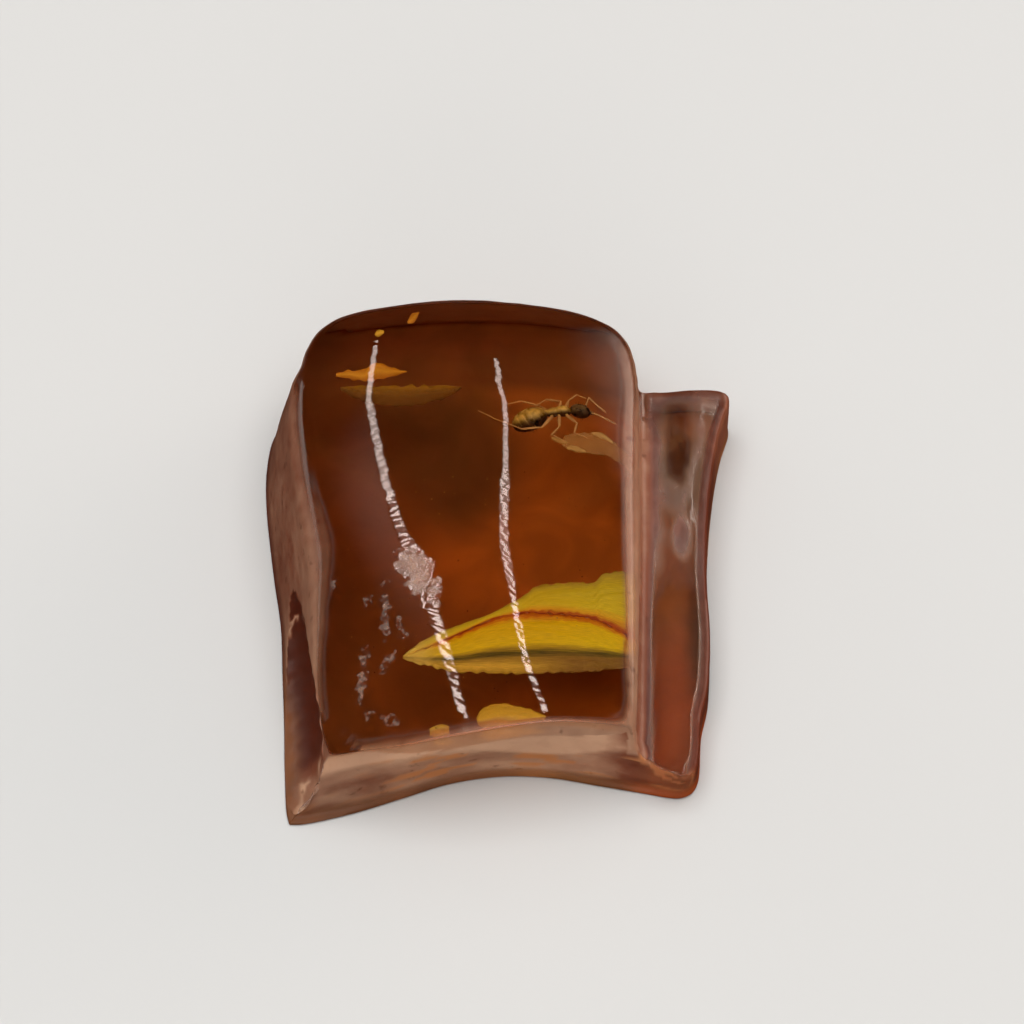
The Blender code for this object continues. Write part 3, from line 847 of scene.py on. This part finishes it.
# far edge to near edge: place, colour; the bright gold, yellow and orange are painted reflections of lamp light
# off the fracture faces
crackReflectionColours = {
    "gold": ((0.0, (0.55, 0.09, 0.01)), (0.06, (0.80, 0.26, 0.01)), (0.16, (0.98, 0.68, 0.01)),
             (0.52, (1.0, 0.76, 0.02)), (0.60, (0.50, 0.34, 0.03)), (0.68, (0.09, 0.075, 0.012)),
             (0.76, (0.50, 0.32, 0.05)), (0.88, (0.95, 0.66, 0.10)), (1.0, (0.60, 0.38, 0.05))),
    "olive": ((0.0, (0.56, 0.40, 0.06)), (0.25, (0.80, 0.66, 0.04)), (0.7, (0.93, 0.75, 0.04)),
              (0.86, (0.95, 0.52, 0.03)), (0.95, (0.60, 0.12, 0.02)), (1.0, (0.35, 0.06, 0.02))),
    "flake": ((0.0, (0.80, 0.50, 0.06)), (0.5, (1.0, 0.66, 0.08)), (1.0, (0.75, 0.42, 0.06))),
    "orange": ((0.0, (0.75, 0.30, 0.03)), (0.5, (0.95, 0.50, 0.05)), (1.0, (0.60, 0.20, 0.03))),
    "dull": ((0.0, (0.62, 0.36, 0.05)), (0.25, (0.42, 0.22, 0.04)), (1.0, (0.22, 0.09, 0.02))),
    "veil": ((0.0, (0.90, 0.60, 0.30)), (0.5, (0.85, 0.50, 0.20)), (1.0, (0.80, 0.50, 0.25))),
    "bright veil": ((0.0, (0.95, 0.62, 0.28)), (0.5, (1.0, 0.70, 0.30)), (1.0, (0.90, 0.55, 0.25))),
}


def alongEdge(corners, steps):
    # a smooth line through the corners, as numbers for both ends and what lies between
    ends = [Vector(corners[0]), *map(Vector, corners), Vector(corners[-1])]
    line = []
    for i in range(steps + 1):
        place = i / steps * (len(corners) - 1)
        k = min(int(place), len(corners) - 2)
        t = place - k
        line.append(splineAt(*ends[k : k + 4], t))
    return line


def makeCrack(name, crack):
    length = (Vector(crack["far"][0]) - Vector(crack["far"][-1])).length
    widest = max((Vector(a) - Vector(b)).length for a, b in zip(crack["far"], crack["near"]))
    along = clamp(round(length / crackSheet["step"]), *crackSheet["stepsAlong"])
    across = round(widest / crackSheet["step"] * crackSheet["finerAcross"])
    across = clamp(across, *crackSheet["stepsAcross"])
    ragged = crackSheet["ragged"].get(crack["tone"], 0.15)
    far, near = alongEdge(crack["far"], along), alongEdge(crack["near"], along)
    points, faces, spots = [], [], []
    for i in range(along + 1):
        width = (far[i] - near[i]).length
        for j in range(across + 1):
            v = j / across
            point = far[i].lerp(near[i], v)
            edge = (1 - ease(v * 4)) - (1 - ease((1 - v) * 4))
            point.y += edge * min(0.15, width * ragged) * ripple((point.x, v * 3, 0), 0.3, 2.0)
            fibre = ripple((point.x * 0.2, v * width * 2.2, 0), 0.55, 1.0)
            fibre += 0.5 * ripple((point.x * 0.4, v * width, 0), 0.12, 6.0)
            wave = ripple((point.x, point.y * 0.6, 0), 1.6, 9.0)
            point.z += crack["bulge"] * math.sin(math.pi * v)
            point.z += (crackSheet["fibreDepth"] * fibre + crackSheet["waveDepth"] * wave) * min(1, width)
            points.append(toFrame @ point)
            spots.append((i / along, v))
    for i in range(along):
        for j in range(across):
            k = i * (across + 1) + j
            faces.append((k, k + across + 1, k + across + 2, k + 1))
    mesh = meshFrom(name, points, faces)
    layer = mesh.uv_layers.new(name="sheet")
    for loop in mesh.loops:
        layer.data[loop.index].uv = spots[loop.vertex_index]
    made = link(bpy.data.objects.new(name, mesh))
    shell = made.modifiers.new("wall", "SOLIDIFY")
    shell.thickness = crackSheet["thickness"] * mm
    shell.offset = 0
    finished(made)
    made.data.shade_smooth()
    return made


def joined(name, pieces):
    # several pieces made one, each keeping its own material
    with bpy.context.temp_override(active_object=pieces[0], selected_editable_objects=pieces):
        bpy.ops.object.join()
    pieces[0].name = name
    pieces[0].data.name = name
    return pieces[0]


def crackMaterial(tone):
    # the sheet's colour is a painted reflection: bright where the fracture face would reflect the lamps
    made, tree, shader = newMaterial("crack " + tone)
    sheet = addNode(tree, "ShaderNodeUVMap", uv_map="sheet").outputs["UV"]
    along, across, _ = splitNode(tree, sheet)
    stretched = mappingNode(tree, sheet, (2.5, 14, 1))
    wander = mathNode(tree, "MULTIPLY_ADD", noiseNode(tree, stretched, 3.0, 5, 0.6), 0.16, -0.08)
    place = mathNode(tree, "ADD", across, wander)
    ramp = addNode(tree, "ShaderNodeValToRGB", {"Fac": place})
    stops = ramp.color_ramp.elements
    while len(stops) < len(crackReflectionColours[tone]):
        stops.new(0.5)
    for stop, (position, colour) in zip(stops, crackReflectionColours[tone]):
        stop.position = position
        stop.color = (*colour, 1)
    colour = ramp.outputs["Color"]
    # the pale tip, where the bands fade, and the brown end of the near band
    if tone == "gold":
        brown = mathNode(tree, "MULTIPLY", rangeNode(tree, along, 0.42, 0.72),
                         rangeNode(tree, place, 0.64, 0.82, 0.0, 0.85))
        colour = mixColours(tree, brown, colour, crackSheet["brownEnd"])
    if tone in ("gold", "olive"):
        colour = mixColours(tree, rangeNode(tree, along, 0.04, 0.22, 0.85, 0.0), colour, crackSheet["paleTip"])
    fine = rangeNode(tree, noiseNode(tree, stretched, 9.0, 4), 0.3, 0.75, 0.72, 1.0)
    setInputs(tree, shader, {"Base Color": mixColours(tree, 1.0, colour, fine, "MULTIPLY"), "Roughness": 0.4,
                             "Specular IOR Level": 0.08, "Alpha": crackSheet["thin"].get(tone, 1.0)})
    return made


toneMaterials = {tone: crackMaterial(tone) for tone in crackReflectionColours}
sheets = []
for name, crack in cracks.items():
    sheets.append(makeCrack(name, crack))
    sheets[-1].data.materials.append(toneMaterials[crack["tone"]])
innerCracks = joined("inner_cracks", sheets)
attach(innerCracks, "root")
print("cracks made:", len(cracks), "with", len(innerCracks.data.polygons), "faces")


ant = {
    "place": (2.65, 7.8, 5.4),
    "turn": math.radians(14),
    "roll": math.radians(-55),
    "voxel": 0.02,
    # middle, half lengths, pitch in degrees
    "gaster": ((-1.32, 0.0, -0.10), (1.02, 0.58, 0.64), -18),
    "parts": (
        ((-0.36, 0.0, 0.13), (0.17, 0.13, 0.20), -10),
        ((0.02, 0.0, 0.12), (0.42, 0.25, 0.28), -8),
        ((0.56, 0.0, 0.12), (0.46, 0.31, 0.34), 8),
        ((0.98, 0.0, 0.06), (0.20, 0.13, 0.14), 10),
        ((1.50, 0.0, -0.02), (0.58, 0.50, 0.44), 14),
        ((1.48, 0.44, 0.12), (0.15, 0.10, 0.13), 0),
        ((1.48, -0.44, 0.12), (0.15, 0.10, 0.13), 0),
        ((2.06, 0.12, -0.20), (0.22, 0.09, 0.07), 20),
        ((2.06, -0.12, -0.20), (0.22, 0.09, 0.07), 20),
    ),
    "segmentEdges": (-0.55, -0.15, 0.25, 0.6),
    # joints from the body outwards, once the body is rolled
    "legs": (
        ((0.62, -0.10, 0.12), (1.15, -0.85, 0.34), (0.85, -1.35, 0.20), (1.45, -1.75, 0.10)),
        ((0.30, -0.10, 0.12), (0.15, -0.95, 0.44), (-0.40, -1.30, 0.30), (0.20, -1.78, 0.15)),
        ((-0.02, -0.08, 0.12), (-0.80, -0.85, 0.50), (-1.90, -0.80, 0.62), (-3.05, 0.15, 0.30),
         (-3.80, 0.90, 0.12)),
        ((0.62, 0.05, -0.12), (1.00, 0.90, -0.50), (1.55, 1.15, -0.38), (2.00, 0.85, -0.32)),
        ((0.30, 0.05, -0.12), (0.58, 0.88, -0.40), (-0.18, 1.08, -0.32), (-0.85, 0.72, -0.28)),
        ((-0.02, 0.02, -0.12), (-0.62, 0.82, -0.58), (-1.50, 1.25, -0.45), (-2.20, 1.15, -0.32)),
    ),
    "feelers": (
        ((1.80, 0.05, 0.15), (2.25, 0.62, 0.40), (2.62, 0.05, 0.36), (2.95, -0.35, 0.22)),
        ((1.80, -0.10, 0.02), (2.35, -0.35, 0.12), (2.95, -0.80, 0.10), (3.35, -1.10, 0.05)),
    ),
    # radius at the start, middle and end of each stretch
    "legRadii": ((0.07, 0.10, 0.05), (0.04, 0.065, 0.05), (0.035, 0.04, 0.03), (0.03, 0.035, 0.025)),
    "feelerRadii": ((0.05, 0.05, 0.045), (0.045, 0.05, 0.05), (0.045, 0.055, 0.04), (0.04, 0.04, 0.03)),
    # cuticle: the two colours that each part is mottled with, where dark is painted shade on the side facing
    # down and gold, or brown on the head, a painted sheen on the side facing up and back; the legs and feelers,
    # and the pits in metres
    "dark": ((0.015, 0.006, 0.003, 1), (0.07, 0.028, 0.010, 1)),
    "gold": ((0.42, 0.24, 0.05, 1), (0.80, 0.55, 0.14, 1)),
    "brown": ((0.03, 0.015, 0.006, 1), (0.20, 0.12, 0.05, 1)),
    "limb": (0.62, 0.36, 0.16, 1),
    "pitDepth": 0.000006,
    # hairs, in metres
    "hairsPerArea": 1.4e7,
    "hairLength": 0.0002,
    "hairRoot": 0.000009,
    "hairLean": 0.6,
    "hairSeed": 5,
}


def ballSpace(middle, radii, pitch, roll):
    place = roll @ Matrix.Translation(middle) @ Matrix.Rotation(math.radians(pitch), 4, "Y")
    return place @ Matrix.Diagonal((*radii, 1))


def addBall(shape, middle, radii, pitch, roll, edges=()):
    # a drawn-out ball; edges are where its plates overlap, as shares of its half length
    made = bmesh.ops.create_uvsphere(shape, u_segments=40, v_segments=48, radius=1)
    lie = Matrix.Rotation(math.pi / 2, 4, "Y")
    for vertex in made["verts"]:
        vertex.co = lie @ vertex.co
        for edge in edges:
            past = vertex.co.x - edge
            if 0 < past < 0.22:
                vertex.co.yz = vertex.co.yz * (1 - 0.045 * (1 - past / 0.22))
    bmesh.ops.transform(shape, matrix=ballSpace(middle, radii, pitch, roll), verts=made["verts"])


def addSpindle(shape, start, end, radii, sides=12, rings=9):
    start, end = Vector(start), Vector(end)
    turn = (end - start).to_track_quat("Z", "Y").to_matrix().to_4x4()
    ringsMade = []
    for k in range(rings):
        t = k / (rings - 1)
        nearest = radii[0] if t < 0.5 else radii[2]
        radius = nearest + (radii[1] - nearest) * math.sin(math.pi * t)
        centre = start.lerp(end, t)
        ring = []
        for s in range(sides):
            angle = 2 * math.pi * s / sides
            rim = Vector((radius * math.cos(angle), radius * math.sin(angle), 0))
            ring.append(shape.verts.new(centre + turn @ rim))
        ringsMade.append(ring)
    for low, high in zip(ringsMade, ringsMade[1:]):
        for s in range(sides):
            shape.faces.new((low[s], low[(s + 1) % sides], high[(s + 1) % sides], high[s]))
    shape.faces.new(list(reversed(ringsMade[0])))
    shape.faces.new(ringsMade[-1])
    for spot, radius in ((start, radii[0]), (end, radii[2])):
        made = bmesh.ops.create_icosphere(shape, subdivisions=2, radius=radius * 1.08)
        bmesh.ops.translate(shape, vec=spot, verts=made["verts"])


def makeAnt():
    shape = bmesh.new()
    roll = Matrix.Rotation(ant["roll"], 4, "X")
    addBall(shape, *ant["gaster"], roll, ant["segmentEdges"])
    for part in ant["parts"]:
        addBall(shape, *part, roll)
    for limbs, radii in ((ant["legs"], ant["legRadii"]), (ant["feelers"], ant["feelerRadii"])):
        for joints in limbs:
            for start, end, sizes in zip(joints, joints[1:], radii):
                addSpindle(shape, start, end, sizes)
    mesh = bpy.data.meshes.new("ant")
    shape.to_mesh(mesh)
    shape.free()
    made = link(bpy.data.objects.new("ant_body", mesh))
    # the remesh works in millimetres, and the ant is brought to size afterwards
    whole = made.modifiers.new("one skin", "REMESH")
    whole.mode = "VOXEL"
    whole.voxel_size = ant["voxel"]
    soft = made.modifiers.new("soft", "SMOOTH")
    soft.iterations = 4
    soft.factor = 0.5
    finished(made)
    skin = made.data
    spots = np.empty(len(skin.vertices) * 3, np.float32)
    skin.vertices.foreach_get("co", spots)
    spots = np.column_stack([spots.reshape(-1, 3), np.ones(len(skin.vertices))])
    # a limb is whatever stands well out of the body's balls
    nearest = np.full(len(spots), 1e9)
    for part in (ant["gaster"], *ant["parts"]):
        inside = spots @ np.array(ballSpace(*part, roll).inverted()).T
        nearest = np.minimum(nearest, np.linalg.norm(inside[:, :3], axis=1))
    limb = [between(1.08, 1.3, reach) for reach in nearest]
    head = [between(0.85, 1.1, x) for x in spots[:, 0]]
    # painted sheen and shade: 1 where the normal faces up and back, which takes the gold or brown, 0 where it
    # faces down, which takes the dark colour
    paintedSheen = [between(-0.05, 0.85, vertex.normal.y * 0.75 + vertex.normal.z * 0.66) for vertex in skin.vertices]
    pointValues(skin, "limb", limb)
    pointValues(skin, "head", head)
    pointValues(skin, "paintedSheen", paintedSheen)
    skin.transform(toFrame @ Matrix.Translation(ant["place"]) @ Matrix.Rotation(ant["turn"], 4, "Z"))
    skin.shade_smooth()
    return made


def nodeTree(name, inputs):
    # an empty Geometry Nodes tree with these named inputs
    tree = bpy.data.node_groups.new(name, "GeometryNodeTree")
    for label, kind in inputs.items():
        tree.interface.new_socket(label, in_out="INPUT", socket_type="NodeSocket" + kind)
    tree.interface.new_socket("Geometry", in_out="OUTPUT", socket_type="NodeSocketGeometry")
    return tree, addNode(tree, "NodeGroupInput").outputs


def randomVector(tree, low, high, seed):
    values = {0: low, 1: high, "Seed": seed}
    return addNode(tree, "FunctionNodeRandomValue", values, data_type="FLOAT_VECTOR").outputs[0]


def growOn(made, tree, shape, material, values):
    # ends the tree in real faces of this material, then makes its result the piece's own mesh
    real = addNode(tree, "GeometryNodeRealizeInstances", {0: shape}).outputs[0]
    painted = addNode(tree, "GeometryNodeSetMaterial", {0: real, "Material": material}).outputs[0]
    addNode(tree, "NodeGroupOutput", {0: painted})
    modifier = made.modifiers.new(tree.name, "NODES")
    modifier.node_group = tree
    for socket in tree.interface.items_tree:
        if socket.in_out == "INPUT" and socket.name in values:
            modifier[socket.identifier] = values[socket.name]
    finished(made)


def growHairs(made, material):
    # fine hairs all over the ant, leaning at random
    tree, given = nodeTree("hairs", {"Geometry": "Geometry", "Hairs per area": "Float", "Length": "Float",
                                     "Root": "Float", "Lean": "Float", "Seed": "Int"})
    skin = given["Geometry"]
    spread = addNode(tree, "GeometryNodeDistributePointsOnFaces",
                     {"Mesh": skin, "Density": given["Hairs per area"], "Seed": given["Seed"]}).outputs
    hair = addNode(tree, "GeometryNodeMeshCone",
                   {"Vertices": 4, "Radius Top": 0.0, "Radius Bottom": given["Root"], "Depth": given["Length"]})
    sizes = randomVector(tree, (1.0, 1.0, 0.5), (1.0, 1.0, 1.2), 3)
    placed = addNode(tree, "GeometryNodeInstanceOnPoints",
                     {"Points": spread["Points"], "Rotation": spread["Rotation"],
                      "Instance": hair.outputs["Mesh"], "Scale": sizes})
    turns = randomVector(tree, mathNode(tree, "MULTIPLY", given["Lean"], -1.0), given["Lean"], 4)
    leaning = addNode(tree, "GeometryNodeRotateInstances", {0: placed.outputs[0], "Rotation": turns}).outputs[0]
    both = addNode(tree, "GeometryNodeJoinGeometry", {0: leaning})
    tree.links.new(skin, both.inputs[0])
    growOn(made, tree, both.outputs[0], material,
           {"Hairs per area": ant["hairsPerArea"], "Length": ant["hairLength"], "Root": ant["hairRoot"],
            "Lean": ant["hairLean"], "Seed": ant["hairSeed"]})


def antMaterial():
    made, tree, shader = newMaterial("ant cuticle")
    plain = mappingNode(tree, pieceCoords(tree))
    mottle = rangeNode(tree, noiseNode(tree, plain, 2600, 4), 0.35, 0.65)
    dark, gold, brown = (mixColours(tree, mottle, *ant[name]) for name in ("dark", "gold", "brown"))
    light = mixColours(tree, valueOf(tree, "head"), gold, brown)
    # painted light: the upper side gets the light colours as a painted sheen, the lower side the dark one as
    # painted shade
    body = mixColours(tree, valueOf(tree, "paintedSheen"), dark, light)
    pits = bumpNode(tree, noiseNode(tree, plain, 22000, 2), ant["pitDepth"])
    setInputs(tree, shader, {"Base Color": mixColours(tree, valueOf(tree, "limb"), body, ant["limb"]),
                             "Roughness": mixNumbers(tree, mottle, 0.25, 0.45), "Normal": pits})
    return made


antBody = makeAnt()
growHairs(antBody, antMaterial())
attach(antBody, "root")
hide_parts("ant")
print("ant made:", len(antBody.data.polygons), "faces")


# fine dust inside the amber, in a room that keeps clear of the ant; corners in millimetres, sizes in metres
specks = {
    "count": 150,
    "lowCorner": (-7.6, -9.3, 1.8),
    "highCorner": (6.0, 4.6, 5.4),
    "smallest": (0.000012, 0.000012, 0.000008),
    "largest": (0.00005, 0.00004, 0.00003),
    "seed": 11,
    "pale": (0.62, 0.34, 0.12, 1),
    "dark": (0.06, 0.025, 0.01, 1),
}


def speckMaterial():
    made, tree, shader = newMaterial("dust in the amber")
    mottle = noiseNode(tree, mappingNode(tree, pieceCoords(tree)), 900, 2)
    colour = mixColours(tree, rangeNode(tree, mottle, 0.42, 0.60), specks["pale"], specks["dark"])
    setInputs(tree, shader, {"Base Color": colour, "Roughness": 0.6, "Specular IOR Level": 0.1})
    return made


def makeSpecks():
    tree, given = nodeTree("specks", {"Count": "Int", "Low corner": "Vector", "High corner": "Vector",
                                      "Smallest": "Vector", "Largest": "Vector", "Seed": "Int"})
    places = randomVector(tree, given["Low corner"], given["High corner"], given["Seed"])
    cloud = addNode(tree, "GeometryNodePoints", {"Count": given["Count"], "Position": places}).outputs[0]
    grain = addNode(tree, "GeometryNodeMeshIcoSphere", {"Radius": 1.0, "Subdivisions": 2}).outputs["Mesh"]
    turns = randomVector(tree, (0.0, 0.0, 0.0), (6.28, 6.28, 6.28), 7)
    sizes = randomVector(tree, given["Smallest"], given["Largest"], 8)
    placed = addNode(tree, "GeometryNodeInstanceOnPoints",
                     {"Points": cloud, "Instance": grain, "Rotation": turns, "Scale": sizes}).outputs[0]
    made = link(bpy.data.objects.new("specks", bpy.data.meshes.new("specks")))
    growOn(made, tree, placed, speckMaterial(),
           {"Count": specks["count"], "Low corner": toFrame @ Vector(specks["lowCorner"]),
            "High corner": toFrame @ Vector(specks["highCorner"]), "Smallest": specks["smallest"],
            "Largest": specks["largest"], "Seed": specks["seed"]})
    made.data.shade_smooth()
    return made


dust = makeSpecks()
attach(dust, "root")
print("specks made:", specks["count"])


setting = {
    "floorSize": 1.2,
    "floorGap": 0.00005,
    "floorColour": (0.66, 0.65, 0.63, 1),
    "worldGrey": 0.35,
    "elevation": 60,
    "distance": 0.300,
    "lens": 192.8,
    "aim": (0.00079, 0.00190, 0.00537),
    # two narrow strips of light overhead, which the crown shows as bright lines; power is for a square metre
    "stripHeight": 0.32,
    "stripPower": 20.0,
    "leftStrip": ((-0.152, 0.40), (-0.150, 0.27), (-0.097, 0.13), (-0.060, 0.02), (-0.066, -0.078)),
    "leftWidth": 0.015,
    "leftBead": 0.0105,
    "rightStrip": ((0.106, 0.33), (0.118, 0.25), (0.119, 0.165), (0.091, 0.07), (0.083, 0.0), (0.098, -0.048)),
    "rightWidth": 0.012,
    "rightBead": 0.0098,
    "beadLean": 0.25,
    "beadDark": 0.92,
    "beadBright": 0.7,
    "fadePeak": 2.0,
}


def makeFloor():
    half = setting["floorSize"] / 2
    corners = [(x * half, y * half, -setting["floorGap"]) for x, y in ((-1, -1), (1, -1), (1, 1), (-1, 1))]
    floor = link(bpy.data.objects.new("floor", meshFrom("floor", corners, [(0, 1, 2, 3)])))
    made, tree, shader = newMaterial("pale floor")
    setInputs(tree, shader, {"Base Color": setting["floorColour"], "Roughness": 0.6})
    floor.data.materials.append(made)
    floor.visible_glossy = False


def makeLight(name, place, turn, size, power, shownIn=("diffuse", "glossy", "transmission")):
    # an oblong soft light; turn is in degrees about X, Y and Z, and an unturned light shines straight down
    data = bpy.data.lights.new(name, "AREA")
    data.shape = "RECTANGLE"
    data.size, data.size_y = size
    data.energy = power
    made = link(bpy.data.objects.new(name, data))
    made.location = place
    made.rotation_euler = [math.radians(angle) for angle in turn]
    made.visible_camera = False
    made.visible_diffuse = "diffuse" in shownIn
    made.visible_glossy = "glossy" in shownIn
    made.visible_transmission = "transmission" in shownIn
    return made


def lightPlaces(made):
    # the nodes of a light, and how far across and along it each point lies, from 0 to 1
    made.data.use_nodes = True
    tree = made.data.node_tree
    across, along, _ = splitNode(tree, addNode(tree, "ShaderNodeNewGeometry").outputs["Parametric"])
    return tree, across, along


def fadeLight(made, colour, *fades):
    # across and then along, a light is brightest at one place and gone at some distance from it
    made.data.color = colour
    tree, *places = lightPlaces(made)
    strength = setting["fadePeak"]
    for place, (brightest, reach) in zip(places, fades):
        away = mathNode(tree, "ABSOLUTE", mathNode(tree, "SUBTRACT", place, brightest))
        strength = mathNode(tree, "MULTIPLY", rangeNode(tree, away, 0.0, reach, 1.0, 0.0), strength)
    setInputs(tree, tree.nodes["Emission"], {"Strength": strength})


def beadLight(made, beads, depth):
    # breaks a strip into slanting beads, from depth 0, none, to 1, dark between them
    tree, across, along = lightPlaces(made)
    lean = mathNode(tree, "MULTIPLY", across, setting["beadLean"])
    phase = mathNode(tree, "MULTIPLY_ADD", along, beads, lean)
    wave = mathNode(tree, "SINE", mathNode(tree, "MULTIPLY", phase, 2 * math.pi))
    dark, bright = 1 - setting["beadDark"] * depth, 1 + setting["beadBright"] * depth
    strength = rangeNode(tree, wave, -0.7, 0.5, dark, bright)
    # and lets its two long edges fade
    away = mathNode(tree, "ABSOLUTE", mathNode(tree, "SUBTRACT", across, 0.5))
    strength = mathNode(tree, "MULTIPLY", strength, rangeNode(tree, away, 0.2, 0.5, 1.2, 0.0))
    setInputs(tree, tree.nodes["Emission"], {"Strength": strength})


def hangStrip(side):
    # a narrow strip of light in straight stretches, shown only in reflections
    path = setting[side + "Strip"]
    for number, (start, end) in enumerate(zip(path, path[1:])):
        start, end = Vector(start), Vector(end)
        middle, length = (start + end) / 2, (end - start).length
        turn = math.degrees(math.atan2(start.x - end.x, end.y - start.y))
        depth = between(0.30, 0.02, middle.y)
        width = setting[side + "Width"] * (1 + 0.5 * depth)
        stretch = makeLight(f"{side} strip {number + 1}", (*middle, setting["stripHeight"]), (0, 0, turn),
                            (width, length), setting["stripPower"] * width * length, ("glossy",))
        beadLight(stretch, length / setting[side + "Bead"], 0.15 + 0.85 * depth)


makeFloor()
makeLight("overhead", (0, 0.05, 0.7), (0, 0, 0), (0.7, 0.7), 4.5, ("diffuse", "transmission"))
makeLight("front", (0, -0.62, 0.20), (72, 0, 0), (0.6, 0.2), 0.62)
makeLight("inside", (0, -0.05, 0.5), (0, 0, 0), (0.4, 0.4), 1.3, ("transmission",))
makeLight("left side", (-0.60, 0.25, 0.15), (76, 0, -113), (0.5, 0.24), 0.5)
rightSide = makeLight("right side", (0.58, 0.32, 0.20), (72, 0, 119), (0.75, 0.44), 2.6, ("glossy", "diffuse"))
fadeLight(rightSide, (1.0, 0.84, 0.75), (0.5, 0.6), (0.3, 0.7))
hangStrip("left")
hangStrip("right")
haze = makeLight("left haze", (-0.1615, 0.125, 0.32), (0, 0, 20), (0.12, 0.34), 0.06, ("glossy",))
fadeLight(haze, (1.0, 0.78, 0.72), (1.0, 1.0), (0.4, 0.6))

world = bpy.context.scene.world = bpy.data.worlds.new("studio")
world.use_nodes = True
world.node_tree.nodes["Background"].inputs["Color"].default_value = (1, 1, 1, 1)
world.node_tree.nodes["Background"].inputs["Strength"].default_value = setting["worldGrey"]
world.cycles_visibility.glossy = False

cameraData = bpy.data.cameras.new("camera")
cameraData.lens = setting["lens"]
cameraData.clip_start = 0.01
camera = link(bpy.data.objects.new("camera", cameraData))
tilt = math.radians(setting["elevation"])
aim = Vector(setting["aim"])
camera.location = aim + Vector((0, -math.cos(tilt), math.sin(tilt))) * setting["distance"]
camera.rotation_euler = (math.pi / 2 - tilt, 0, 0)
bpy.context.scene.camera = camera
bpy.context.scene.view_settings.view_transform = "Standard"
print("light and camera set")
